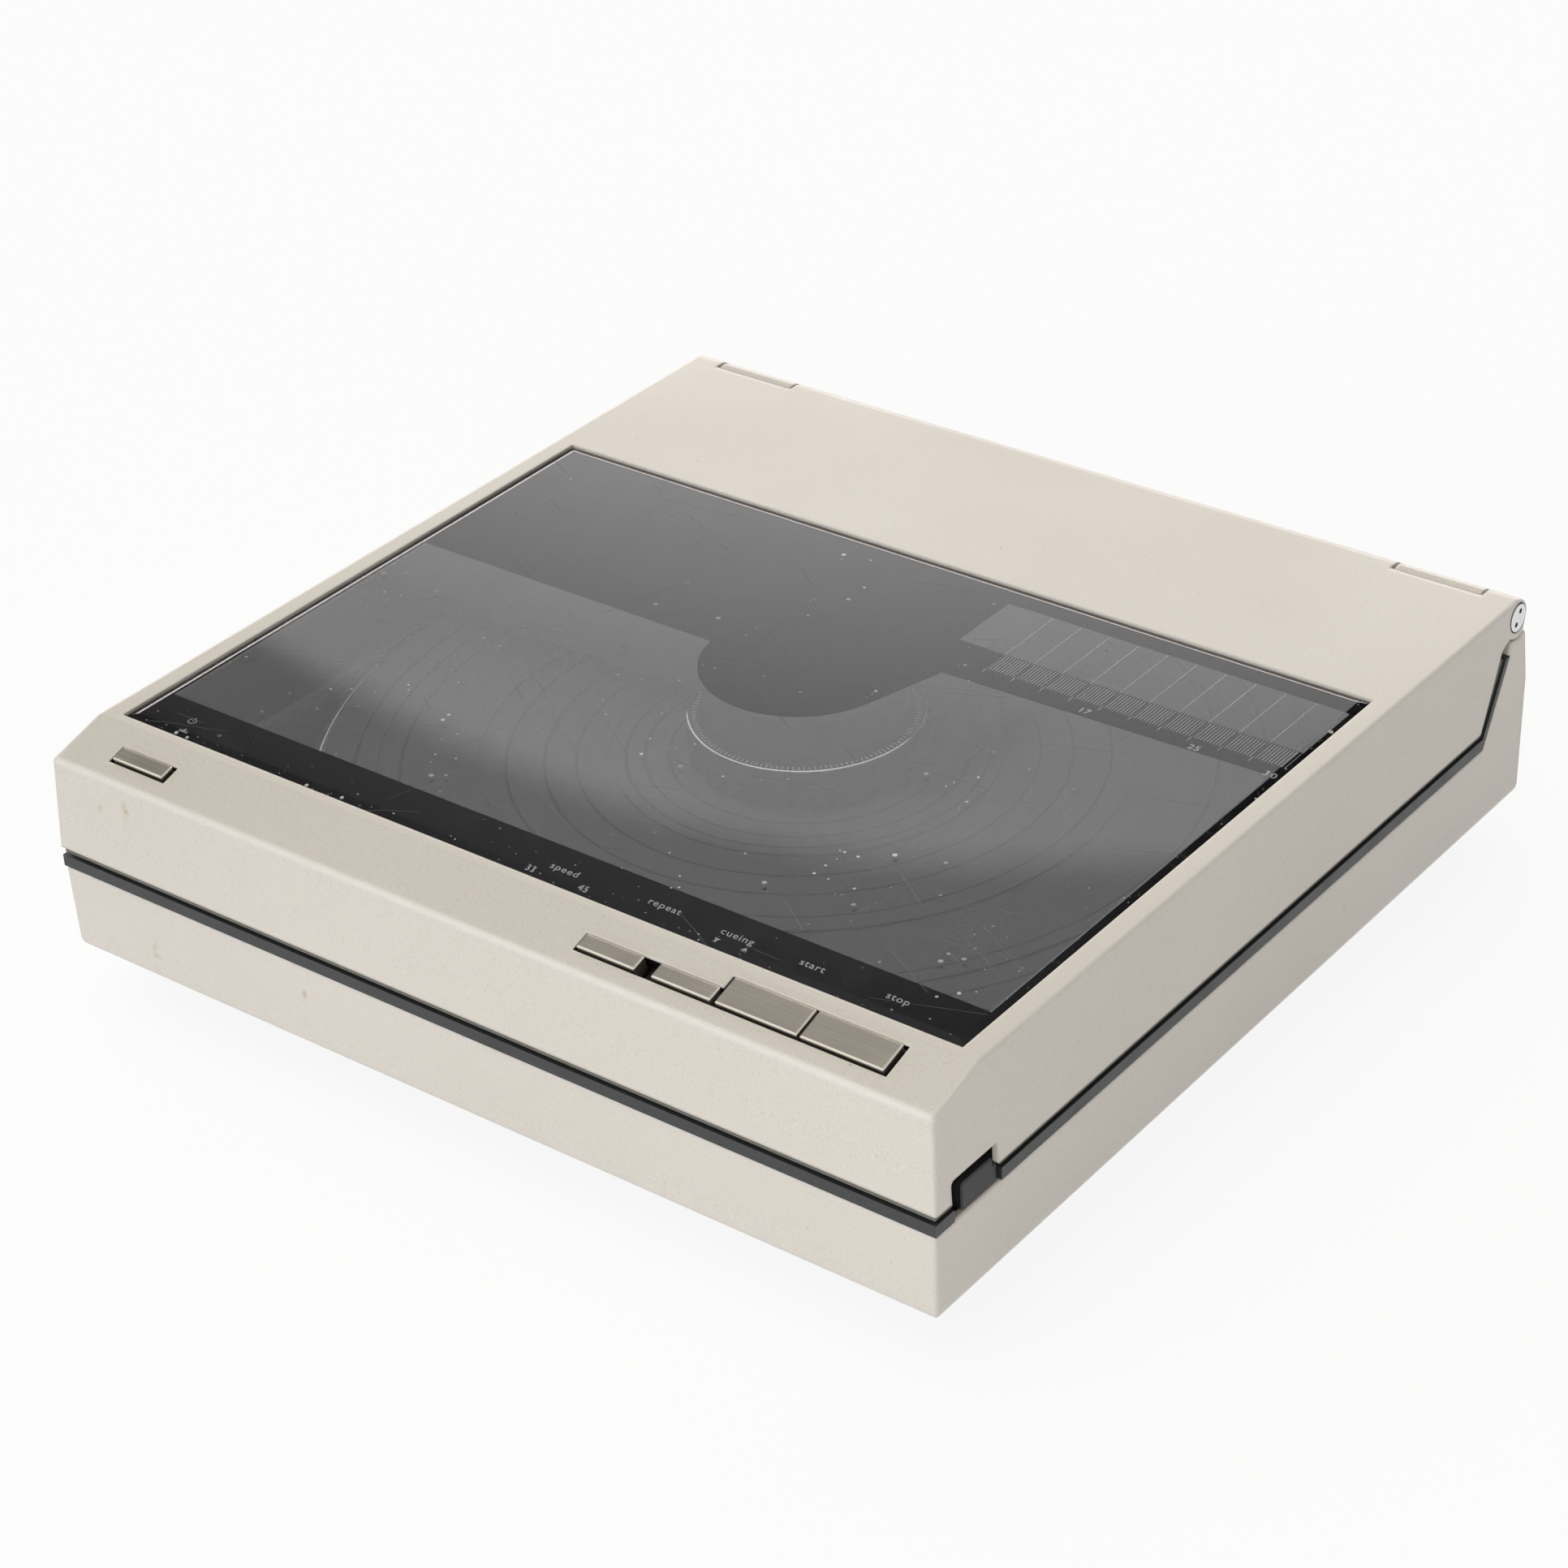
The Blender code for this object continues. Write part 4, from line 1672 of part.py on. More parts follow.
def make_electronics():
    board_low = COVER_FLOOR_Z + MAIN_BOARD_RISE
    board_top = board_low + BOARD_THICKNESS
    right = MAIN_BOARD_LEFT + MAIN_BOARD_LENGTH
    back = MAIN_BOARD_FRONT + MAIN_BOARD_DEPTH
    board = piece(
        "main_board",
        block((MAIN_BOARD_LEFT, MAIN_BOARD_FRONT, board_low), (right, back, board_top)),
        "circuit_board",
    )
    for share in CAN_SHARES:
        x = MAIN_BOARD_LEFT + MAIN_BOARD_LENGTH * share
        y = MAIN_BOARD_FRONT + MAIN_BOARD_DEPTH / 2
        join(board, rod((x, y, 0), CAN_RADIUS, board_low + BOARD_THICKNESS / 2, board_top + CAN_HEIGHT, ROUND_TINY))
    sink_x = right - SINK_LENGTH - BOSS_INSET
    sink_y = back - SINK_DEPTH - BOSS_INSET
    join(
        board,
        block(
            (sink_x, sink_y, board_low + BOARD_THICKNESS / 2),
            (sink_x + SINK_LENGTH, sink_y + SINK_DEPTH, board_top + SINK_HEIGHT),
        ),
    )

    low = COVER_FLOOR_Z + SEAT_GAP
    half_x, half_y = TRANSFORMER_LENGTH / 2, TRANSFORMER_DEPTH / 2
    core = piece(
        "transformer",
        block(
            (TRANSFORMER_X - half_x, TRANSFORMER_Y - half_y + COIL_MARGIN, low),
            (TRANSFORMER_X + half_x, TRANSFORMER_Y + half_y - COIL_MARGIN, low + TRANSFORMER_HEIGHT),
        ),
        "zinc_plate",
    )
    join(
        core,
        block(
            (TRANSFORMER_X - half_x + COIL_MARGIN, TRANSFORMER_Y - half_y, low + COIL_MARGIN / 2),
            (
                TRANSFORMER_X + half_x - COIL_MARGIN,
                TRANSFORMER_Y + half_y,
                low + TRANSFORMER_HEIGHT - COIL_MARGIN / 2,
            ),
        ),
    )


def make_sockets():
    middle_z = BASE_BOTTOM_Z + (PANEL_LOW + PANEL_HIGH) / 2
    outer = BACK_Y - REAR_PANEL_INSET
    panel = piece(
        "rear_panel",
        block(
            (-PANEL_HALF + SEAT_GAP, outer - REAR_PANEL_THICKNESS, BASE_BOTTOM_Z + PANEL_LOW + SEAT_GAP),
            (PANEL_HALF - SEAT_GAP, outer, BASE_BOTTOM_Z + PANEL_HIGH - SEAT_GAP),
        ),
        "black_plastic",
    )
    through = (outer - REAR_PANEL_THICKNESS - OVERRUN, outer + OVERRUN)
    for index, word in enumerate(("left", "right")):
        place = Vector((SOCKET_X - SOCKET_SPACING * (1 - index), 0, middle_z))
        cut(panel, rod(place, SOCKET_RADIUS + SEAT_GAP, *through, ROUND_SMALL, "Y"))
        end = BACK_Y + SOCKET_OUTSIDE
        seat = outer + SEAT_GAP
        rim = SOCKET_RADIUS + SOCKET_FLANGE
        profile = [
            (0, BACK_Y - SOCKET_INSIDE),
            (SOCKET_RADIUS, BACK_Y - SOCKET_INSIDE),
            (SOCKET_RADIUS, seat),
            (rim, seat),
            (rim, seat + SOCKET_FLANGE_HEIGHT),
            (SOCKET_RADIUS, seat + SOCKET_FLANGE_HEIGHT),
            (SOCKET_RADIUS, end),
            (SOCKET_BORE, end),
            (SOCKET_BORE, outer - SOCKET_OUTSIDE),
            (0, outer - SOCKET_OUTSIDE),
        ]
        piece(f"output_socket_{word}", turned(profile, place, ROUND_SMALL, "Y"), "chrome", smooth=True)

    place = Vector((TERMINAL_X, 0, middle_z))
    cut(panel, rod(place, TERMINAL_NECK + SEAT_GAP, *through, ROUND_TINY, "Y"))
    head = outer + SEAT_GAP
    profile = [
        (0, BACK_Y - SOCKET_INSIDE / 2),
        (TERMINAL_NECK, BACK_Y - SOCKET_INSIDE / 2),
        (TERMINAL_NECK, head),
        (TERMINAL_RADIUS, head),
        (TERMINAL_RADIUS, BACK_Y + TERMINAL_REACH),
        (0, BACK_Y + TERMINAL_REACH),
    ]
    piece("earth_terminal", turned(profile, place, ROUND_SMALL, "Y"), "chrome", smooth=True)

    low = (INLET_X - INLET_HALF_WIDTH, BACK_Y - INLET_DEPTH, middle_z - INLET_HALF_HEIGHT)
    high = (INLET_X + INLET_HALF_WIDTH, BACK_Y + INLET_OUTSIDE, middle_z + INLET_HALF_HEIGHT)
    gap = Vector((SEAT_GAP, OVERRUN, SEAT_GAP))
    cut(panel, block(Vector(low) - gap, Vector(high) + gap))
    inlet = piece("power_inlet", block(low, high), "black_plastic")
    wall = Vector((INLET_WALL, INLET_WALL, INLET_WALL))
    mouth = Vector((INLET_WALL, -OVERRUN, INLET_WALL))
    cut(inlet, block(Vector(low) + wall, Vector(high) - mouth))
    for way in (-1, 1):
        pin_place = (INLET_X + way * INLET_PIN_SPREAD, 0, middle_z)
        ends = (BACK_Y - INLET_DEPTH + INLET_WALL / 2, BACK_Y - INLET_WALL)
        join(inlet, rod(pin_place, INLET_PIN_RADIUS, *ends, ROUND_TINY, "Y"))


def main():
    for old in list(bpy.data.objects):
        bpy.data.objects.remove(old, do_unlink=True)
    make_lid_shell()
    make_window()
    make_lid_skirt()
    make_deck_frame()
    make_base_case()
    make_hinges()
    make_bottom_cover()
    make_feet()
    make_deck_and_motor()
    make_platter()
    make_keys()
    make_key_guide_and_board()
    make_covers()
    make_clamp()
    make_rails()
    make_carriage()
    make_arm()
    make_arm_drive()
    make_latch()
    make_electronics()
    make_sockets()


main()
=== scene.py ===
"""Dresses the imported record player: paint, window with its print, keys, platter, arm drive and studio."""

import logging
import math
from collections.abc import Callable
from dataclasses import dataclass
from enum import Enum
from functools import cache, partialmethod, reduce
from typing import ClassVar, Self

import bmesh
import bpy
import numpy as np
from bpy.types import Material, Object
from mathutils import Matrix, Vector


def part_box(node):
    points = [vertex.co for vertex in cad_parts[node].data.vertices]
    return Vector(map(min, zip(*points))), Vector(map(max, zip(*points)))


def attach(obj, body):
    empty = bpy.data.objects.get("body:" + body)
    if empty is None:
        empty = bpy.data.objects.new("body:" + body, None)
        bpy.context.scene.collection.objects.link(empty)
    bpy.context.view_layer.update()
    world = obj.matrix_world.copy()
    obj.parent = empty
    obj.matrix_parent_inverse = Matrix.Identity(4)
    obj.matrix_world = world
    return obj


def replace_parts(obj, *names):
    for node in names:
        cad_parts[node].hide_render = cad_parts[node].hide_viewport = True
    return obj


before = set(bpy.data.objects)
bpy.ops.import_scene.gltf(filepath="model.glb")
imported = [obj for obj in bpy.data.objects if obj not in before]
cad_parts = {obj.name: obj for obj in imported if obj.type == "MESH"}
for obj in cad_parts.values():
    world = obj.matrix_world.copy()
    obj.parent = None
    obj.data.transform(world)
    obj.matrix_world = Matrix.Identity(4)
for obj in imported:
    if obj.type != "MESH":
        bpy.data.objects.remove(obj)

LOG = logging.getLogger("record_player")
MM = 0.001
UPWARD = (0.0, 0.0, 1.0)
Tone = tuple[float, float, float]
Place = tuple[float, float, float]
Point = tuple[float, float]
Box = tuple[Place, Place]


def tone(red: float, green: float, blue: float) -> Tone:
    """Turn a colour as seen on a screen into the light values that shaders take.

    Args:
        red, green, blue: Each channel from 0 to 255.

    Returns:
        Each channel to the power 2.4 after its offset, or divided by 12.92 where it is very dark.
    """
    shares = (v / 255 for v in (red, green, blue))
    return tuple(v / 12.92 if v <= 0.04045 else ((v + 0.055) / 1.055) ** 2.4 for v in shares)


def shade(base: Tone, share: float, lift: float = 0.0) -> Tone:
    """Return the colour times a share, with a lift added, and at most 1."""
    return tuple(min(1.0, v * share + lift) for v in base)


class Way(Enum):
    """The direction that a brushed or turned finish runs in."""

    ALONG_X = (12.0, 2600.0, 2600.0)
    ALONG_Y = (2600.0, 12.0, 2600.0)
    ALONG_Z = (2600.0, 2600.0, 12.0)
    CAST = (420.0, 420.0, 420.0)


# ---------------------------------------------------------------- node trees


class Wire:
    """An output in a node tree. Steps on it, such as + and *, add the nodes that work them out."""

    def __init__(self, tree: "Tree", socket: bpy.types.NodeSocket) -> None:
        """Keep the tree and the output."""
        self.tree, self.socket = tree, socket

    def __getitem__(self, label: str | int) -> Self:
        """Return another output of the same node."""
        return Wire(self.tree, self.socket.node.outputs[label])

    def step(self, operation: str, *others: object) -> Self:
        """Take one arithmetic step from this output, part by part if it is a vector.

        Args:
            operation: Blender's name for the step.
            others: The other values, each a wire or a constant.

        Returns:
            The result, which is one number for a length or a dot product.
        """
        kind = "ShaderNodeVectorMath" if self.socket.type == "VECTOR" else "ShaderNodeMath"
        result = self.tree.add(kind, dict(enumerate((self, *others))), operation=operation)
        return result[1] if operation in ("LENGTH", "DOT_PRODUCT") else result

    __add__, __sub__ = partialmethod(step, "ADD"), partialmethod(step, "SUBTRACT")
    __mul__, __truediv__ = partialmethod(step, "MULTIPLY"), partialmethod(step, "DIVIDE")
    over, under = partialmethod(step, "GREATER_THAN"), partialmethod(step, "LESS_THAN")
    largest, smallest = partialmethod(step, "MAXIMUM"), partialmethod(step, "MINIMUM")
    size, length = partialmethod(step, "ABSOLUTE"), partialmethod(step, "LENGTH")
    dot = partialmethod(step, "DOT_PRODUCT")

    def parts(self) -> list[Self]:
        """Return the three parts of a vector or a colour."""
        kind = "ShaderNodeSeparateXYZ" if self.socket.type == "VECTOR" else "ShaderNodeSeparateColor"
        first = self.tree.add(kind, {0: self})
        return [first, first[1], first[2]]

    def span(self, low: float, high: float, start: float = 0.0, end: float = 1.0, **settings: str) -> Self:
        """Return this moved from the range low to high into start to end, and held inside it."""
        return self.tree.add("ShaderNodeMapRange", {0: self, 1: low, 2: high, 3: start, 4: end}, **settings)

    def soft(self, low: float, high: float) -> Self:
        """Return 1 below low and 0 above high, with a smooth turn at each end."""
        return self.span(low, high, 1.0, 0.0, interpolation_type="SMOOTHSTEP")

    def blend(self, first: object, second: object) -> Self:
        """Return the first colour where this is 0 and the second where it is 1."""
        return self.tree.add("ShaderNodeMix", {0: self, 6: first, 7: second}, data_type="RGBA")[2]

    def noise(self, scale: object, detail: float = 2.0, rough: float = 0.55) -> Self:
        """Return a soft random value from 0 to 1 over this place, that changes scale times a metre."""
        values = {"Vector": self, "Scale": scale, "Detail": detail, "Roughness": rough}
        return self.tree.add("ShaderNodeTexNoise", values)

    def bump(self, depth: float, strength: float, **normal: Self) -> Self:
        """Return the normal of a surface that rises by depth metres where this is 1."""
        values = {"Height": self, "Strength": strength, "Distance": depth, **normal}
        return self.tree.add("ShaderNodeBump", values)


class Tree:
    """A node tree with short calls that add nodes and join them."""

    def __init__(self, tree: bpy.types.NodeTree) -> None:
        """Keep the tree that the calls work on, and empty it."""
        self.tree = tree
        tree.nodes.clear()

    def node(self, kind: str, values: dict | None = None, **settings: object) -> bpy.types.Node:
        """Add one node.

        Args:
            kind: Blender's name for the node.
            values: Input names or numbers, with a constant or the wire that feeds each.
            settings: Properties of the node itself.

        Returns:
            The new node.
        """
        node = self.tree.nodes.new(kind)
        for name, value in settings.items():
            setattr(node, name, value)
        for name, value in (values or {}).items():
            self.feed(node.inputs[name], value)
        return node

    def add(self, kind: str, values: dict | None = None, **settings: object) -> Wire:
        """Add one node, as node does, and return its first output."""
        return Wire(self, self.node(kind, values, **settings).outputs[0])

    def feed(self, socket: bpy.types.NodeSocket, value: object) -> None:
        """Join a wire to the socket, or set the socket to a constant."""
        if isinstance(value, Wire):
            self.tree.links.new(value.socket, socket)
        elif socket.type == "RGBA" and len(value) == 3:
            socket.default_value = (*value, 1.0)
        else:
            socket.default_value = value


VECTOR, NUMBER, COLOUR = "NodeSocketVector", "NodeSocketFloat", "NodeSocketColor"


class Effect(Tree):
    """A shared effect, built once as a node group and placed in many materials."""

    def __init__(self, name: str, takes: dict[str, object], **gives: str) -> None:
        """Make the group with its named inputs and outputs.

        Args:
            name: The group's name.
            takes: The default of each input but Vector: a number, a place, or a colour with its alpha.
            gives: Output names with their socket kind.
        """
        group = bpy.data.node_groups.new(name, "ShaderNodeTree")
        super().__init__(group)
        for label, value in {"Vector": (0.0, 0.0, 0.0), **takes}.items():
            kind = NUMBER if isinstance(value, float) else COLOUR if len(value) == 4 else VECTOR
            group.interface.new_socket(label, in_out="INPUT", socket_type=kind).default_value = value
        for label, kind in gives.items():
            group.interface.new_socket(label, in_out="OUTPUT", socket_type=kind)
        self.at = self.add("NodeGroupInput")
        self.gives = self.node("NodeGroupOutput").inputs

    def give(self, **results: Wire) -> Self:
        """Join each result to the output of that name, and return the effect."""
        for label, value in results.items():
            self.feed(self.gives[label], value)
        return self


def flecked_paint() -> Effect:
    """Build paint with fine pale and deep flecks, faint clouds and a fine orange-peel height."""
    grey = (0.6, 0.6, 0.5, 1.0)
    takes = {"Base": grey, "Pale": grey, "Deep": grey, "Grain": 1500.0, "Strength": 0.5}
    group = Effect("flecked_paint", takes, Color=COLOUR, Cloud=NUMBER, Height=NUMBER)
    at = group.at
    fine = at.noise(at["Grain"], 1.0, 0.5)
    other = (at + (0.7, 0.3, 0.5)).noise(at["Grain"], 1.0, 0.5)
    cloud = at.noise(11.0, 5.0)
    colour = cloud.span(0.35, 0.75, 0.0, 0.12).blend(at["Base"], at["Deep"])
    colour = (fine.span(0.56, 0.72) * at["Strength"]).blend(colour, at["Pale"])
    colour = (other.span(0.57, 0.74) * at["Strength"]).blend(colour, at["Deep"])
    return group.give(Color=colour, Cloud=cloud, Height=fine)


def edge_wear_and_highlight() -> Effect:
    """Build masks of edges, even and patchy, and the rounded normal that they are found with. The patchy mask
    is wear; the even line carries painted highlights.
    """
    group = Effect("edge_wear_and_highlight", {"Radius": 0.0006}, Mask=NUMBER, Line=NUMBER, Normal=VECTOR)
    rounded = group.add("ShaderNodeBevel", {"Radius": group.at["Radius"]}, samples=4)
    line = rounded.dot(group.add("ShaderNodeNewGeometry")["Normal"]).span(0.995, 0.9)
    patch = group.at.noise(160.0, 4.0).span(0.35, 0.6)
    return group.give(Mask=line * patch, Line=line, Normal=rounded)


def brushed_grain() -> Effect:
    """Build fine lines: noise stretched along one direction by the scale given for each axis."""
    group = Effect("brushed_grain", {"Stretch": (12.0, 2600.0, 2600.0)}, Value=NUMBER)
    return group.give(Value=(group.at * group.at["Stretch"]).noise(1.0, 3.0))


def settled_dust() -> Effect:
    """Build dust: small round specks in some cells of a grid, and faint smears between them."""
    group = Effect("settled_dust", {"Cells": 420.0, "Amount": 0.12}, Mask=NUMBER, Smear=NUMBER)
    cells = group.add("ShaderNodeTexVoronoi", {"Vector": group.at, "Scale": group.at["Cells"]})
    chance, size, _ = cells["Color"].parts()
    specks = chance.under(group.at["Amount"]) * cells["Distance"].under(size * 0.14 + 0.04)
    return group.give(Mask=specks, Smear=group.at.noise(60.0, 6.0).span(0.5, 0.8))


def hairlines() -> Effect:
    """Build straight scratches: a turned grid of long cells, some with one thin line of their own length."""
    group = Effect("hairlines", {"Turn": 0.6, "Share": 0.3, "Width": 0.02}, Mask=NUMBER)
    at = group.at
    scaled = group.add("ShaderNodeVectorRotate", {"Vector": at, "Angle": at["Turn"]}) * (28.0, 150.0, 0.0)
    x, y, _ = scaled.step("FRACTION").parts()
    cell = group.add("ShaderNodeTexWhiteNoise", {"Vector": scaled.step("FLOOR")}, noise_dimensions="3D")
    chance, slope, reach = cell["Color"].parts()
    line = (y - ((x - 0.5) * slope + 0.5)).size().under(at["Width"])
    short = (x - 0.5).size().under(reach * 0.35 + 0.1)
    return group.give(Mask=line * short * chance.under(at["Share"]))


def turned_rings() -> Effect:
    """Build rings about the vertical axis: the sine of the distance from the axis over the pitch."""
    group = Effect("turned_rings", {"Pitch": 0.0012}, Value=NUMBER, Radius=NUMBER)
    radius = (group.at * (1.0, 1.0, 0.0)).length()
    wave = (radius / group.at["Pitch"] * math.tau).step("SINE")
    return group.give(Value=wave.span(-1.0, 1.0), Radius=radius)


class Recipe(Tree):
    """One material: its shader and the effects that feed it."""

    def __init__(self, name: str, **constants: object) -> None:
        """Make the material with one shader.

        Args:
            name: The material's name.
            constants: Values set straight on the shader, with _ for a space in the socket's name.
        """
        self.material = bpy.data.materials.new(name)
        self.material.use_nodes = True
        super().__init__(self.material.node_tree)
        self.shader = self.node("ShaderNodeBsdfPrincipled")
        self.lit = Wire(self, self.shader.outputs[0])
        self.out = self.node("ShaderNodeOutputMaterial", {"Surface": self.lit})
        self.at = self.add("ShaderNodeTexCoord")["Object"]
        self.set(**constants)

    def set(self, **values: object) -> Material:
        """Feed the shader's sockets, with _ for a space in each name, and return the material."""
        for name, value in values.items():
            self.feed(self.shader.inputs[name.replace("_", " ")], value)
        return self.material

    def use(self, effect: Callable[[], Effect], **values: object) -> Wire:
        """Place a shared effect here, built the first time it is asked for.

        Args:
            effect: The function that builds it, which has the group's name.
            values: Its inputs; Vector is the object's own place unless given.

        Returns:
            The effect's first output, from which the others follow by name.
        """
        group = bpy.data.node_groups.get(effect.__name__) or effect().tree
        return self.add("ShaderNodeGroup", {"Vector": self.at, **values}, node_tree=group)


# ------------------------------------------------------------------ finishes


@dataclass(frozen=True)
class Stain:
    """A soft smear on a painted face: its middle and its half sizes."""

    middle: Place
    reach: Place
    strength: float = 0.5


@dataclass(frozen=True)
class Paint:
    """Satin casting paint with flecks, a painted highlight on edges that face up, and a few stains.

    It is darkened in the shaded boxes, which are the castings' insides, as painted shade, and dark in wells,
    where the front slope is cut through. Edges in the no-highlight boxes get no painted highlight.
    """

    name: str
    base: Tone = tone(224, 216, 205)
    pale: Tone = tone(242, 237, 228)
    # The tone of the painted highlight on edges that face up.
    ridge: Tone = tone(255, 252, 246)
    deep: Tone = tone(188, 180, 168)
    stains: tuple[Stain, ...] = ()
    # Boxes darkened as painted shade: the castings' insides.
    bare: tuple[Box, ...] = ()
    wells: tuple[Box, ...] = ()
    # Boxes whose edges get no painted highlight.
    plain_edges: tuple[Box, ...] = ()
    slope_foot: Place = (0.0, -0.1562, 0.0823)
    slope_down: Place = (0.0, 0.2773, -0.9608)

    def make(self) -> Material:
        """Build the paint's material."""
        recipe = Recipe(self.name, Metallic=0.0, Specular_IOR_Level=0.9)
        at = recipe.at
        paint = recipe.use(flecked_paint, Base=self.base, Pale=self.pale, Deep=self.deep, Strength=0.34)
        edge = recipe.use(edge_wear_and_highlight, Radius=self.edge_radius(at))
        # Painted highlight: edges whose rounded normal faces up take the ridge tone, except in the
        # no-highlight boxes.
        line = edge["Line"] * edge["Normal"].parts()[2].span(0.2, 0.5, 0.0, 0.9)
        for box in self.plain_edges:
            line = line - self.within(at, box)
        colour = line.largest(0.0).blend(paint["Color"], self.ridge)
        for stain in self.stains:
            near = ((at - stain.middle) / stain.reach).length().span(1.0, 0.2)
            ragged = at.noise(420.0, 4.0).span(0.42, 0.62, 0.0, stain.strength)
            colour = (near * ragged).blend(colour, tone(176, 158, 122))
        grime = recipe.use(settled_dust, Cells=260.0, Amount=0.012)["Mask"]
        colour = (grime * 0.35).blend(colour, tone(120, 110, 96))
        # Painted shade: the castings' insides are darkened to near black.
        for box in self.bare:
            colour = self.within(at, box).blend(colour, tone(30, 30, 30))
        sunk = (at - self.slope_foot).dot(self.slope_down).over(0.0003)
        for box in self.wells:
            colour = (sunk * self.within(at, box)).blend(colour, tone(24, 24, 24))
        return recipe.set(
            Base_Color=colour,
            Roughness=paint["Cloud"].span(0.3, 0.7, 0.3, 0.38),
            Normal=paint["Height"].bump(0.00003, 0.35, Normal=edge["Normal"]),
        )

    def edge_radius(self, at: Wire) -> Wire:
        """Return how far edges are rounded, which also sets the painted highlight's width: wide along the
        front ridge, small elsewhere.
        """
        _, y, z = at.parts()
        return y.span(-0.1505, -0.1525) * z.span(0.0775, 0.0795) * 0.0017 + 0.0013

    def within(self, at: Wire, box: Box) -> Wire:
        """Return 1 inside the box, given by its middle and its reach, and 0 outside it."""
        beyond = (at - box[0]).size() - box[1]
        return reduce(Wire.largest, beyond.parts()).under(0.0)


@dataclass(frozen=True)
class Moulding:
    """Moulded plastic or rubber with a fine grain and a little dust."""

    name: str
    base: Tone
    rough: float = 0.45
    grain: float = 900.0
    depth: float = 0.00004
    dust: float = 0.1
    specular: float = 0.5

    def make(self) -> Material:
        """Build the moulding's material."""
        recipe = Recipe(self.name, Specular_IOR_Level=self.specular)
        grain = recipe.at.noise(self.grain, 3.0)
        dust = recipe.use(settled_dust, Cells=380.0, Amount=self.dust)
        lighter = shade(self.base, 1.7, 0.01)
        colour = grain.span(0.4, 0.75, 0.0, 0.4).blend(self.base, lighter)
        colour = (dust["Mask"] * 0.45).blend(colour, tone(150, 146, 140))
        colour = (recipe.use(edge_wear_and_highlight, Radius=0.0004)["Mask"] * 0.5).blend(colour, lighter)
        return recipe.set(
            Base_Color=colour,
            Roughness=dust["Smear"].span(0.0, 1.0, self.rough, min(1.0, self.rough + 0.15)),
            Normal=grain.bump(self.depth, 0.5),
        )


@dataclass(frozen=True)
class Metal:
    """Bare, plated or brushed metal."""

    name: str
    base: Tone
    rough: float = 0.3
    way: Way = Way.CAST
    contrast: float = 0.25
    depth: float = 0.00001
    rings: float = 0.0
    bare_edge: float = 0.0

    def make(self) -> Material:
        """Build the metal's material."""
        recipe = Recipe(self.name, Metallic=1.0)
        line = recipe.use(brushed_grain, Stretch=self.way.value)["Value"]
        if self.rings:
            line = recipe.use(turned_rings, Pitch=self.rings)["Value"]
        dust = recipe.use(settled_dust, Cells=300.0, Amount=0.05)
        colour = line.span(0.3, 0.7, 0.0, self.contrast).blend(self.base, shade(self.base, 0.55))
        colour = (dust["Mask"] * 0.3).blend(colour, tone(110, 104, 96))
        # Near-white edges: the polished bevel, brightened further as a painted highlight.
        if self.bare_edge:
            colour = recipe.use(edge_wear_and_highlight, Radius=self.bare_edge)["Line"].blend(colour, tone(250, 250, 248))
        return recipe.set(
            Base_Color=colour,
            Roughness=dust["Smear"].span(0.0, 1.0, self.rough, min(1.0, self.rough + 0.12)),
            Normal=line.bump(self.depth, 0.4),
        )


@dataclass(frozen=True)
class Striped:
    """Wound wire, cord or woven belt: stripes across one axis."""

    name: str
    base: Tone
    deep: Tone
    per_metre: float = 2400.0
    axis: Place = UPWARD
    metallic: float = 0.0
    rough: float = 0.5

    def make(self) -> Material:
        """Build the striped material: the sine of the place along the axis mixes two tones."""
        recipe = Recipe(self.name, Metallic=self.metallic)
        share = (recipe.at.dot(self.axis) * (self.per_metre * math.tau)).step("SINE").span(-0.8, 0.9)
        patch = recipe.at.noise(300.0, 3.0)
        colour = share.blend(self.deep, self.base)
        return recipe.set(
            Base_Color=patch.span(0.4, 0.8, 0.0, 0.3).blend(colour, self.deep),
            Roughness=patch.span(0.3, 0.7, self.rough - 0.1, self.rough + 0.1),
            Normal=share.bump(0.00005, 0.5),
        )


@dataclass(frozen=True)
class Circuit:
    """A circuit board: lacquer with copper tracks below a height, dark parts above it."""

    name: str
    part_low: float
    part_high: float
    lacquer: Tone = tone(42, 84, 52)
    part: Tone = tone(40, 42, 48)

    def make(self) -> Material:
        """Build the board's material: square cells' edges are tracks, and height picks lacquer or part."""
        recipe = Recipe(self.name, Specular_IOR_Level=0.5)
        cells = {"Vector": recipe.at, "Scale": 60.0, "Mortar Size": 0.035}
        track = recipe.add("ShaderNodeTexBrick", cells)["Fac"]
        spots = recipe.use(settled_dust, Cells=330.0, Amount=0.5)["Mask"]
        board = spots.blend((track * 0.6).blend(self.lacquer, tone(88, 118, 62)), tone(188, 190, 186))
        tint = recipe.at.noise(24.0, 1.0)
        parts = tint.span(0.48, 0.5).blend(self.part, tone(52, 66, 112))
        return recipe.set(
            Base_Color=recipe.at.parts()[2].span(self.part_low, self.part_high).blend(board, parts),
            Roughness=tint.span(0.3, 0.7, 0.32, 0.5),
            Normal=track.bump(0.00006, 0.4),
        )


@dataclass(frozen=True)
class ClearPane:
    """Clear window plastic: plain transmission, with a faint wave in its surface."""

    name: str
    tint: Tone = (0.86, 0.87, 0.88)
    index: float = 1.56

    def make(self) -> Material:
        """Build the pane's material."""
        recipe = Recipe(self.name, IOR=self.index, Transmission_Weight=1.0, Metallic=0.0)
        wave = recipe.at.noise(14.0)
        return recipe.set(
            Base_Color=wave.span(0.3, 0.7).blend(self.tint, shade(self.tint, 0.96)),
            Roughness=recipe.at.noise(90.0, 4.0).span(0.4, 0.8, 0.0, 0.045),
            Normal=wave.bump(0.0002, 0.08),
        )


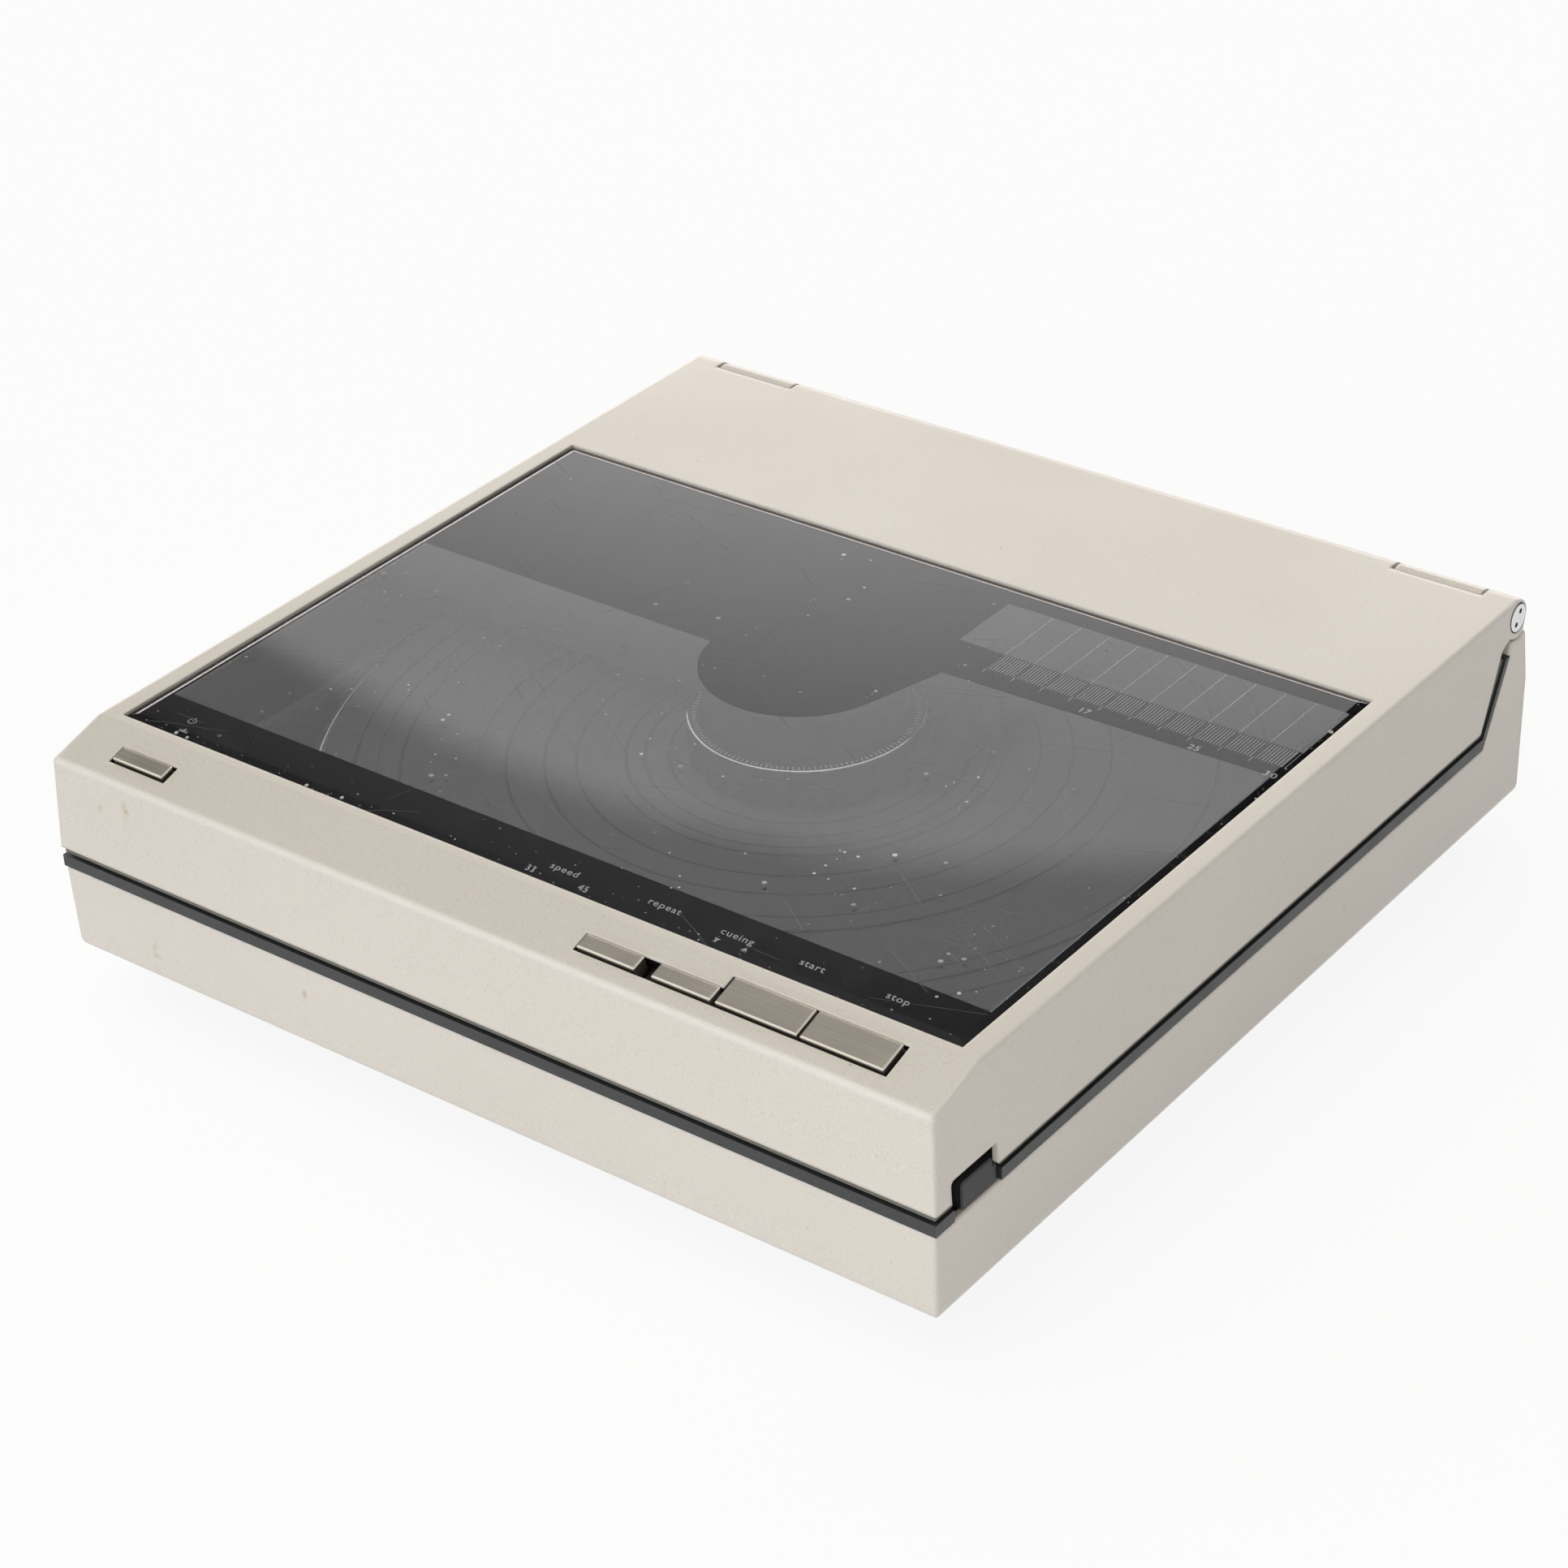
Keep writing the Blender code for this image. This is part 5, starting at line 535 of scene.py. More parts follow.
@dataclass(frozen=True)
class SurfaceFilm:
    """What lies on the pane: dust specks, most of them along its bevel, smears and scratches."""

    name: str
    scratches: tuple[Place, ...] = (
        (0.62, 0.10, 0.10), (-0.30, 0.07, 0.08), (1.9, 0.05, 0.08), (0.05, 0.04, 0.1),
    )
    low: Point = (-0.146, -0.1297)
    high: Point = (0.146, 0.0695)

    def make(self) -> Material:
        """Build the film's material, see-through except where its masks are."""
        recipe = Recipe(self.name, Roughness=0.7, Specular_IOR_Level=0.2)
        at, shifted = recipe.at, recipe.at + (0.31, 0.17, 0.0)
        specks = recipe.use(settled_dust, Cells=230.0, Amount=0.26)
        fine = recipe.use(settled_dust, Vector=shifted, Cells=520.0, Amount=0.18)["Mask"]
        crumbs = recipe.use(settled_dust, Vector=shifted + (0.1, 0.2, 0.0), Cells=900.0, Amount=0.3)["Mask"]
        x, y, _ = at.parts()
        bevel = x.over(self.high[0]).largest(y.under(self.low[1]))
        gather = at.noise(22.0, 4.0).span(0.47, 0.62, 0.14, 1.0).largest(bevel * 0.75)
        dots = (specks["Mask"].largest(fine) * gather).largest(crumbs * bevel * 0.7)
        lines = [
            recipe.use(hairlines, Turn=turn, Share=share)["Mask"] * strength
            for turn, share, strength in self.scratches
        ]
        return recipe.set(
            Base_Color=dots.blend(tone(170, 168, 166), tone(220, 218, 214)),
            Alpha=reduce(Wire.largest, lines, dots) + specks["Smear"] * 0.014,
        )


@dataclass(frozen=True)
class MatRubber:
    """The mat's rubber: a fine grain, and thin darker rings at the radii that the photograph shows."""

    name: str
    base: Tone
    radii: tuple[float, ...] = (0.0416, 0.0488, 0.0546, 0.0694, 0.0790, 0.0904, 0.1220, 0.1360)
    ring_half: float = 0.0004

    def make(self) -> Material:
        """Build the mat's material."""
        recipe = Recipe(self.name, Specular_IOR_Level=0.5)
        fine = recipe.use(turned_rings, Pitch=0.0012)
        nearest = reduce(Wire.smallest, [(fine["Radius"] - radius).size() for radius in self.radii])
        cut = nearest.span(self.ring_half * 1.6, self.ring_half * 0.6)
        grain = recipe.at.noise(1400.0, 3.0)
        dust = recipe.use(settled_dust, Cells=420.0, Amount=0.06)["Mask"]
        colour = grain.span(0.35, 0.75, 0.0, 0.5).blend(self.base, shade(self.base, 1.25))
        # Painted shade: the rings are darkened nearly to black, as the shade in their shallow grooves.
        colour = (cut * 0.85).blend(colour, tone(12, 12, 12))
        return recipe.set(
            Base_Color=(dust * 0.3).blend(colour, tone(120, 118, 114)),
            Roughness=grain.span(0.3, 0.7, 0.5, 0.62),
            Normal=(fine["Value"] - cut).bump(0.00006, 0.3),
        )


@dataclass(frozen=True)
class Ink:
    """Screen print: one tone with a fine mottle."""

    name: str
    base: Tone
    rough: float = 0.6
    specular: float = 0.0

    def make(self) -> Material:
        """Build the print's material."""
        recipe = Recipe(self.name, Specular_IOR_Level=self.specular, Roughness=self.rough)
        mottle = recipe.at.noise(800.0, 3.0).span(0.3, 0.7)
        return recipe.set(Base_Color=mottle.blend(self.base, shade(self.base, 0.8)))


Finish = Paint | Moulding | Metal | Striped | Circuit | ClearPane | SurfaceFilm | MatRubber | Ink


@cache
def material_of(finish: Finish) -> Material:
    """Return the finish's material, built the first time it is asked for."""
    return finish.make()


DARK_PLASTIC = Moulding("trim_plastic", tone(46, 47, 48), 0.42, 700.0, 0.00003, 0.05)
# The skirt's tone is raised above its own to offset the shade under the lid's edge: partly painted light.
SKIRT_PLASTIC_LIGHTENED = Moulding("skirt_plastic_lightened", tone(104, 102, 93), 0.5, 700.0, 0.00003, 0.04)
BLACK_PLASTIC = Moulding("black_plastic", tone(34, 34, 35), 0.5, 800.0, 0.00003, 0.12)
WELL_BLACK = Moulding("key_well_black", tone(26, 26, 25), 0.7, 900.0, 0.00004, 0.2)
MAT_RUBBER = MatRubber("mat_rubber", tone(74, 74, 75))
CLAMP_BLACK = Moulding("clamp_black", tone(26, 26, 27), 0.6, 900.0, 0.00003, 0.04, 0.25)
FOOT_RUBBER = Moulding("foot_rubber", tone(40, 39, 38), 0.8, 500.0, 0.0001, 0.3)
BRIGHT_CHROME = Metal("bright_chrome", tone(214, 215, 217), 0.09, Way.CAST, 0.05, 0.000002)
PLAIN_STEEL = Metal("plain_steel", tone(196, 196, 194), 0.28, Way.ALONG_X, 0.2)
# Its last value lays near-white edges: a polished bevel with a painted highlight.
KEY_TOP = Metal("brushed_key_top", tone(214, 206, 192), 0.36, Way.ALONG_X, 0.4, 0.000012, 0.0, 0.0003)
# Dark metal under the chrome discs: painted shade in the spanner holes and a shadow ring round each disc.
CAP_SHADE_BACKING = Metal("hinge_cap_painted_shade", tone(44, 44, 46), 0.5, Way.CAST, 0.3)
ZINC = Metal("zinc_plate", tone(188, 190, 186), 0.4, Way.CAST, 0.35, 0.00002)
CAST_METAL = Metal("cast_aluminium", tone(176, 176, 172), 0.42, Way.CAST, 0.3, 0.00004)
TURNED_METAL = Metal("turned_aluminium", tone(196, 196, 194), 0.3, Way.CAST, 0.3, 0.00002, 0.0008)


# ------------------------------------------------------------------- surfaces


def linked(name: str, data: bpy.types.ID) -> Object:
    """Return a new object in the scene that shows the data."""
    obj = bpy.data.objects.new(name, data)
    bpy.context.scene.collection.objects.link(obj)
    return obj


def surface(name: str, points: np.ndarray, faces: list, smooth: bool = True) -> Object:
    """Put points and faces into a mesh object at the origin, with its faces outwards.

    Args:
        name: The object's name.
        points: Array of shape (n, 3), in metres.
        faces: Lists of point numbers.
        smooth: Whether faces are shaded smooth.

    Returns:
        The object.
    """
    mesh = bpy.data.meshes.new(name)
    mesh.from_pydata(points.tolist(), [], faces)
    work = bmesh.new()
    work.from_mesh(mesh)
    bmesh.ops.remove_doubles(work, verts=work.verts, dist=1e-7)
    bmesh.ops.dissolve_degenerate(work, dist=1e-8, edges=work.edges)
    bmesh.ops.recalc_face_normals(work, faces=work.faces)
    work.to_mesh(mesh)
    work.free()
    mesh.polygons.foreach_set("use_smooth", np.full(len(mesh.polygons), smooth))
    return linked(name, mesh)


def grid_faces(rows: int, columns: int, wrap: bool) -> list:
    """Return the quads of a grid of points, rows by columns, each row closed on itself if wrap."""
    row, column = np.meshgrid(np.arange(rows - 1), np.arange(columns if wrap else columns - 1), indexing="ij")
    after = (column + 1) % columns
    start, above = row * columns, (row + 1) * columns
    quads = np.stack([start + column, start + after, above + after, above + column], axis=-1)
    return quads.reshape(-1, 4).tolist()


def capped_faces(levels: int, count: int) -> list:
    """Return the faces of closed loops of points, stacked in levels, with a flat face at each end."""
    ends = [list(range(count))[::-1], list(range((levels - 1) * count, levels * count))]
    return grid_faces(levels, count, True) + ends


def circle(first: float, last: float, steps: int, ends: bool = True) -> np.ndarray:
    """Return points of the unit circle, cosine and sine, between two angles in degrees."""
    turn = np.radians(np.linspace(first, last, steps, endpoint=ends))
    return np.column_stack([np.cos(turn), np.sin(turn)])


def turned(name: str, profile: tuple[Point, ...], edge: Point, steps: int = 144) -> Object:
    """Carry a closed profile round the spindle: each radius times cosine and sine, at its height.

    Args:
        name: The object's name.
        profile: (outwards, up) pairs in millimetres, counted from the edge.
        edge: The radius and the height of the edge that the profile lies on, in metres.
        steps: Points in each ring.

    Returns:
        The closed solid of revolution.
    """
    radius, height = (np.array([*profile, profile[0]]) * MM + edge).T
    ring = circle(0.0, 360.0, steps, False)
    rings = [np.column_stack([ring * r, np.full(steps, h)]) for r, h in zip(radius, height, strict=True)]
    return surface(name, np.vstack(rings), grid_faces(len(rings), steps, True))


def rounded_outline(low: Point, high: Point, radius: float, steps: int = 6) -> np.ndarray:
    """Return a rectangle's points with each corner a quarter circle: corner centre plus radius by angle.

    Args:
        low, high: The lowest and the highest x and y.
        radius: The corner's radius.
        steps: Points in each corner.

    Returns:
        Array of shape (4 * steps, 2), anticlockwise.
    """
    angle = np.linspace(0.0, math.pi / 2, steps)
    centres = np.array(
        [(high[0] - radius, high[1] - radius), (low[0] + radius, high[1] - radius),
         (low[0] + radius, low[1] + radius), (high[0] - radius, low[1] + radius)]
    )
    turn = np.arange(4)[:, None] * math.pi / 2 + angle
    ring = np.stack([np.cos(turn), np.sin(turn)], axis=-1) * radius + centres[:, None]
    return ring.reshape(-1, 2)


def plate(name: str, low: Point, high: Point, levels: list[Point], corner: float) -> Object:
    """Build a closed plate from rounded rectangles, one at each level, each drawn in by its inset.

    Args:
        name: The object's name.
        low, high: The outline's lowest and highest x and y.
        levels: (inset, z) pairs from bottom to top.
        corner: The corner's radius before the inset.

    Returns:
        The plate, level.
    """
    loops = []
    for inset, z in levels:
        foot, head = (low[0] + inset, low[1] + inset), (high[0] - inset, high[1] - inset)
        ring = rounded_outline(foot, head, max(corner - inset, 0.00005))
        loops.append(np.column_stack([ring, np.full(len(ring), z)]))
    return surface(name, np.vstack(loops), capped_faces(len(loops), len(loops[0])), False)


def outlined(name: str, outlines: list, place: Matrix, depth: float = 0.00002) -> Object:
    """Fill flat outlines, the first the border and the others holes, and give the sheet a depth.

    Args:
        name: The object's name.
        outlines: Lists of (x, y) points in metres.
        place: Where the sheet goes.
        depth: The sheet's thickness, by default that of a print.

    Returns:
        The sheet as a mesh.
    """
    curve = bpy.data.curves.new(name + "_outline", "CURVE")
    curve.dimensions, curve.fill_mode, curve.extrude = "2D", "BOTH", depth / 2
    for outline in outlines:
        spline = curve.splines.new("POLY")
        spline.points.add(len(outline) - 1)
        flat = np.column_stack([np.array(outline), np.zeros(len(outline)), np.ones(len(outline))])
        spline.points.foreach_set("co", flat.ravel())
        spline.use_cyclic_u = True
    return as_mesh(name, curve, place)


def as_mesh(name: str, curve: bpy.types.Curve, place: Matrix) -> Object:
    """Turn a curve or text into a mesh object, then put it in place.

    Args:
        name: The object's name.
        curve: The curve or text data.
        place: Where it goes.

    Returns:
        The mesh object at the origin.
    """
    holder = linked(name + "_holder", curve)
    bpy.context.view_layer.update()
    mesh = bpy.data.meshes.new_from_object(holder.evaluated_get(bpy.context.evaluated_depsgraph_get()))
    bpy.data.objects.remove(holder)
    bpy.data.curves.remove(curve)
    mesh.name = name
    mesh.materials.clear()
    mesh.transform(place)
    return linked(name, mesh)


def lettering(words: str, size: float, place: Matrix, slant: float = -0.2) -> Object:
    """Set words in the plain built-in face, centred, as a thin solid.

    Args:
        words: What is written.
        size: The height of the face in metres.
        place: Where its middle goes.
        slant: How far the letters lean.

    Returns:
        The letters as a mesh.
    """
    text = bpy.data.curves.new("words", "FONT")
    text.body, text.size, text.shear, text.extrude = words, size, slant, 0.00001
    text.align_x, text.align_y = "CENTER", "CENTER"
    text.space_character, text.offset, text.resolution_u = 1.12, 0.00004, 3
    return as_mesh("words", text, place)


def joined(name: str, parts: list) -> Object:
    """Join mesh objects into one piece and remove them.

    Args:
        name: The piece's name.
        parts: The objects to join.

    Returns:
        The piece.
    """
    mesh = bpy.data.meshes.new(name)
    work = bmesh.new()
    for part in parts:
        data = part.data
        work.from_mesh(data)
        bpy.data.objects.remove(part)
        bpy.data.meshes.remove(data)
    work.to_mesh(mesh)
    work.free()
    return linked(name, mesh)


def dressed(obj: Object, finish: Finish, body: str) -> Object:
    """Give a new piece its finish in a material slot, and its body.

    Args:
        obj: The piece.
        finish: Its finish.
        body: The body it rides on.

    Returns:
        The same piece.
    """
    obj.data.materials.clear()
    obj.data.materials.append(material_of(finish))
    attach(obj, body)
    LOG.info("%s rides on %s", obj.name, body)
    return obj


# --------------------------------------------------------------- sub-assemblies


class Assembly:
    """A part of the player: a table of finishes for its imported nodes, and the pieces that it adds."""

    finishes: ClassVar[tuple] = ()

    def build(self) -> None:
        """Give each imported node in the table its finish, slot by slot, then add the pieces."""
        for finish, *names in self.finishes:
            for name in names:
                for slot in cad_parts[name].material_slots:
                    slot.material = material_of(finish)
        self.add_pieces()

    def add_pieces(self) -> None:
        """Add nothing, unless the assembly has pieces of its own."""


@dataclass
class Casing(Assembly):
    """The two painted castings, with the small stains on their front faces."""

    lid: Paint = Paint(
        "lid_paint",
        stains=(
            Stain((-0.1276, -0.157, 0.0736), (0.0024, 0.004, 0.0055), 0.75),
            Stain((-0.1384, -0.157, 0.0718), (0.0014, 0.004, 0.002), 0.6),
        ),
        # The lid's inside, darkened as painted shade.
        bare=(((0.0, 0.003, 0.064), (0.1556, 0.1385, 0.0214)),),
        wells=(
            ((0.0862, -0.1447, 0.08), (0.0515, 0.0059, 0.02)),
            ((-0.1282, -0.1447, 0.08), (0.0112, 0.0059, 0.02)),
        ),
        # The window opening's edges, kept free of the painted highlight.
        plain_edges=(
            ((0.0, -0.0301, 0.087), (0.1507, 0.1043, 0.003)),
            ((0.0, 0.1480, 0.087), (0.1506, 0.0036, 0.003)),
        ),
    )
    base: Paint = Paint(
        "base_paint",
        stains=(
            Stain((-0.1231, -0.157, 0.0255), (0.0018, 0.004, 0.0075), 0.75),
            Stain((-0.0626, -0.157, 0.0357), (0.0014, 0.004, 0.0022), 0.6),
            Stain((0.157, 0.048, 0.033), (0.004, 0.0016, 0.0022), 0.5),
        ),
        # The base's inside, darkened as painted shade.
        bare=(((0.0, -0.001, 0.034), (0.1546, 0.1535, 0.0214)),),
    )
    finishes = ((lid, "lid_shell"), (base, "base_case"))


class TrimBand(Assembly):
    """The dark band between the castings, with the latch in its recess."""

    finishes = (
        (DARK_PLASTIC, "deck_frame"), (SKIRT_PLASTIC_LIGHTENED, "lid_skirt"),
        (BLACK_PLASTIC, "latch_slide"), (PLAIN_STEEL, "lid_catch"),
    )


@dataclass
class Window(Assembly):
    """The chamfered pane in the lid, the print under it and what has settled on it."""

    bevel_width: float = 0.003
    bevel_drop: float = 0.0008
    corner: float = 0.0012
    gap: float = 0.0002
    mask_depth: float = 0.00005
    print_depth: float = 0.00015
    shift: Point = (0.001, -0.0012)
    clamp_middle: Point = (-0.003, 0.0028)
    clamp_reach: float = 0.0313
    scale_low: Point = (0.0278, 0.0395)
    scale_high: Point = (0.1455, 0.0655)
    scale_corner: float = 0.0004
    line_pitch: float = 0.0101
    line_first: float = 0.0442
    line_ends: Place = (0.0275, 0.0652, 0.00024)
    tick_ends: Place = (0.0297, 0.039, 0.0002)
    number_size: float = 0.0036
    ink: Ink = Ink("window_border_ink", tone(27, 27, 29), 0.7)
    white: Ink = Ink("window_lettering", tone(232, 232, 233), 0.6)
    pane: ClearPane = ClearPane("clear_window_plastic")
    film: SurfaceFilm = SurfaceFilm("window_dust")

    def __post_init__(self) -> None:
        """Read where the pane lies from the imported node."""
        self.low, self.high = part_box("window")

    def add_pieces(self) -> None:
        """Build the pane, its border print, the scale, the words and the dust."""
        low, high = self.low, self.high
        foot = [(self.gap, low.z), (0.0, low.z + self.gap)]
        levels = [*foot, (0.0, high.z - self.bevel_drop), (self.bevel_width, high.z)]
        pane = plate("window_pane", low.xy, high.xy, levels, self.corner)
        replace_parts(dressed(pane, self.pane, "lid"), "window")
        self.build_mask()
        self.build_scale()
        self.build_words()
        self.build_film()

    def clear_outline(self) -> np.ndarray:
        """Return the clear opening: straight sides, and an arc round the clamp's middle by angle."""
        arc = circle(-16.0, -171.2, 40) * self.clamp_reach + np.array(self.clamp_middle)
        ends = np.array([(-147.5, -2.0), (-147.5, -114.0), (144.5, -114.0), (144.5, 24.0), (34.7, 20.6)]) * MM
        return np.vstack([ends, arc]) + np.array(self.shift)

    def build_mask(self) -> None:
        """Build the dark printed border as a sheet with the clear opening and the scale's opening."""
        low, high, gap = self.low, self.high, self.gap
        rim = rounded_outline((low.x + gap, low.y + gap), (high.x - gap, high.y - gap), self.corner)
        scale = rounded_outline(self.scale_low, self.scale_high, self.scale_corner) + np.array(self.shift)
        place = Matrix.Translation((0.0, 0.0, low.z + self.mask_depth))
        dressed(outlined("window_border", [rim, self.clear_outline(), scale], place), self.ink, "lid")

    def place(self, x: float, y: float) -> Matrix:
        """Return the place of a printed mark under the pane."""
        return Matrix.Translation((x, y, self.low.z + self.print_depth))

    def build_scale(self) -> None:
        """Build the scale: long lines across the opening, short ticks below it and the numbers."""
        dx, dy = self.shift
        lines = self.line_first + self.line_pitch * np.arange(10)
        ticks = self.line_first + self.line_pitch * np.arange(101) / 10
        parts = [self.bar(x, *self.line_ends) for x in lines]
        parts += [self.bar(x, *self.tick_ends) for x in ticks if x < self.scale_high[0]]
        for word, x, y in (("17", 0.0817, 0.025), ("25", 0.1188, 0.025), ("30", 0.1440, 0.0245)):
            parts.append(lettering(word, self.number_size, self.place(x + dx, y + dy), 0.0))
        dressed(joined("window_scale", parts), self.white, "lid")

    def bar(self, left: float, front: float, back: float, width: float) -> Object:
        """Return a thin printed bar from front to back, moved for the pane's refraction."""
        corners = [(left, front), (left + width, front), (left + width, back), (left, back)]
        return outlined("bar", [corners], self.place(*self.shift))

    def build_words(self) -> None:
        """Build the words and symbols above the keys: the power arc, its bar, a push mark and two arrows."""
        words = (
            ("33", 0.0031, -0.1289, 0.0031), ("speed", 0.0117, -0.1247, 0.0038),
            ("45", 0.0216, -0.1287, 0.0031), ("repeat", 0.0457, -0.1236, 0.0038),
            ("cueing", 0.0708, -0.1242, 0.0038), ("start", 0.0955, -0.1241, 0.0038),
            ("stop", 0.1230, -0.1239, 0.0038),
        )
        parts = [lettering(word, size, self.place(x, y)) for word, x, y, size in words]
        arc = circle(125.0, 415.0, 36)
        bar = [(-0.14, 0.1), (0.14, 0.1), (0.14, 1.9), (-0.14, 1.9)]
        stem = [(0.3, -0.2), (0.3, 0.7), (-0.3, 0.7), (-0.3, -0.2)]
        push = [(-1.6, -0.6), (1.6, -0.6), (1.6, -0.2), *stem, (-1.6, -0.2)]
        down, up = [(0.0, -0.9), (1.0, 0.7), (-1.0, 0.7)], [(-1.0, -0.7), (1.0, -0.7), (0.0, 0.9)]
        for points, x, y in (
            (np.vstack([arc * 1.4, arc[::-1] * 1.1]), -0.1309, -0.1236), (bar, -0.1309, -0.1236),
            (down, 0.0667, -0.1283), (up, 0.0758, -0.1278), (push, -0.1292, -0.1285),
        ):
            parts.append(outlined("mark", [np.array(points) * MM], self.place(x, y)))
        dressed(joined("window_words", parts), self.white, "lid")

    def build_film(self) -> None:
        """Build the thin layer of dust that follows the pane's top and bevel."""
        low, high = self.low, self.high
        foot = high.z - self.bevel_drop
        levels = [
            (self.bevel_width, high.z + 0.00001), (0.0003, foot + 0.00009),
            (0.0003, foot + 0.0001), (self.bevel_width, high.z + 0.00002),
        ]
        dressed(plate("window_dust", low.xy, high.xy, levels, self.corner), self.film, "lid")


@dataclass
class KeyStrip(Assembly):
    """The five brushed keys in their black wells."""

    slope: float = 16.1
    slope_front: Place = (0.0, -0.14927, 0.08514)
    overhang: float = 0.0003
    side_overhang: float = 0.00005
    skirt: float = 0.0009
    corner: float = 0.0005
    bevel: float = 0.00055
    rise: float = 0.00035
    keys: tuple[tuple[str, str], ...] = (
        ("key_power", "power_button"), ("key_repeat", "repeat_button"), ("key_cueing", "cueing_rocker"),
        ("key_start", "start_button"), ("key_stop", "stop_button"),
    )
    finishes = (
        (WELL_BLACK, "key_guide", "key_cover"),
        (KEY_TOP, "key_power", "key_repeat", "key_cueing", "key_start", "key_stop"),
    )

    def add_pieces(self) -> None:
        """Lay a bevelled brushed cap on each key."""
        for node, body in self.keys:
            self.cap(node, body)

    def cap(self, node: str, body: str) -> None:
        """Build one cap: rounded outlines along the slope, drawn in over the bevel's width.

        Args:
            node: The key's node, whose top it covers.
            body: The body it rides on.
        """
        low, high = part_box(node)
        tilt, foot = math.radians(self.slope), self.slope_front
        along = (high.z - foot[2]) / math.sin(tilt)
        turn = (self.bevel * 0.35, self.rise * 0.75)
        levels = [(0.0, -self.skirt), (0.0, 0.0), turn, (self.bevel, self.rise)]
        front = (low.x - self.side_overhang, -self.overhang)
        back = (high.x + self.side_overhang, along + self.overhang)
        cap = plate(node + "_cap", front, back, levels, self.corner)
        cap.data.transform(Matrix.Translation(foot) @ Matrix.Rotation(tilt, 4, "X"))
        dressed(cap, KEY_TOP, body)


@dataclass
class HingePair(Assembly):
    """The chrome hinge caps with their two spanner holes, dark metal under them as painted shade in the holes
    and round the discs, and the pins behind them.
    """

    radius: float = 0.0044
    hole: float = 0.00085
    spread: float = 0.0022
    line: float = 60.0
    thickness: float = 0.0005
    finishes = (
        # The caps under the discs are dark as painted shade.
        (CAP_SHADE_BACKING, "hinge_cap_left", "hinge_cap_right"),
        (PLAIN_STEEL, "hinge_pin_left", "hinge_pin_right"),
    )

    def add_pieces(self) -> None:
        """Lay a drilled disc on each cap."""
        self.disc(-1, "hinge_cap_left")
        self.disc(1, "hinge_cap_right")

    def disc(self, side: int, node: str) -> None:
        """Build one disc: circles of points by angle, the border and two holes, given a thickness.

        Args:
            side: 1 for the right ear and -1 for the left.
            node: The cap that it lies on.
        """
        low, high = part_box(node)
        middle = (low + high) / 2
        ring, apart = circle(0.0, 360.0, 48, False), circle(self.line, self.line, 1) * self.spread
        outlines = [ring * self.radius, ring[::2] * self.hole + apart, ring[::2] * self.hole - apart]
        middle.x = (high.x if side > 0 else low.x) + side * self.thickness / 2
        place = Matrix.Translation(middle) @ Matrix(((0, 0, 1), (1, 0, 0), (0, 1, 0))).to_4x4()
        disc = outlined(node + "_disc", outlines, place, self.thickness)
        dressed(disc, BRIGHT_CHROME, "lid")


@dataclass
class Turntable(Assembly):
    """The platter with its bright lip, the grooved mat, the adapter and the motor below."""

    lip: tuple[Point, ...] = (
        (-2.4, -0.2), (-0.6, -0.2), (-0.1, -0.8), (0.3, -0.4),
        (-0.1, 0.4), (-0.8, 0.6), (-2.0, 0.6), (-2.4, 0.2),
    )
    lip_steps: int = 192
    lip_finish: Metal = Metal("polished_lip", tone(222, 221, 218), 0.18, Way.CAST, 0.1, 0.000004, 0.0006)
    coils = Striped("stator_coils", tone(186, 112, 64), tone(96, 52, 30), 1900.0, UPWARD, 0.7, 0.35)
    magnet = Moulding("ferrite_magnet", tone(58, 57, 56), 0.6, 500.0, 0.00005, 0.05)
    finishes = (
        (CAST_METAL, "platter", "deck_plate"), (MAT_RUBBER, "platter_mat"), (BLACK_PLASTIC, "centre_adapter"),
        (BRIGHT_CHROME, "spindle"), (magnet, "rotor_magnet"), (coils, "motor_stator"),
    )

    def add_pieces(self) -> None:
        """Build the platter's lip: a rounded profile carried round the spindle."""
        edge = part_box("platter")[1].xz
        lip = turned("platter_lip", self.lip, edge, self.lip_steps)
        dressed(lip, self.lip_finish, "turntable")


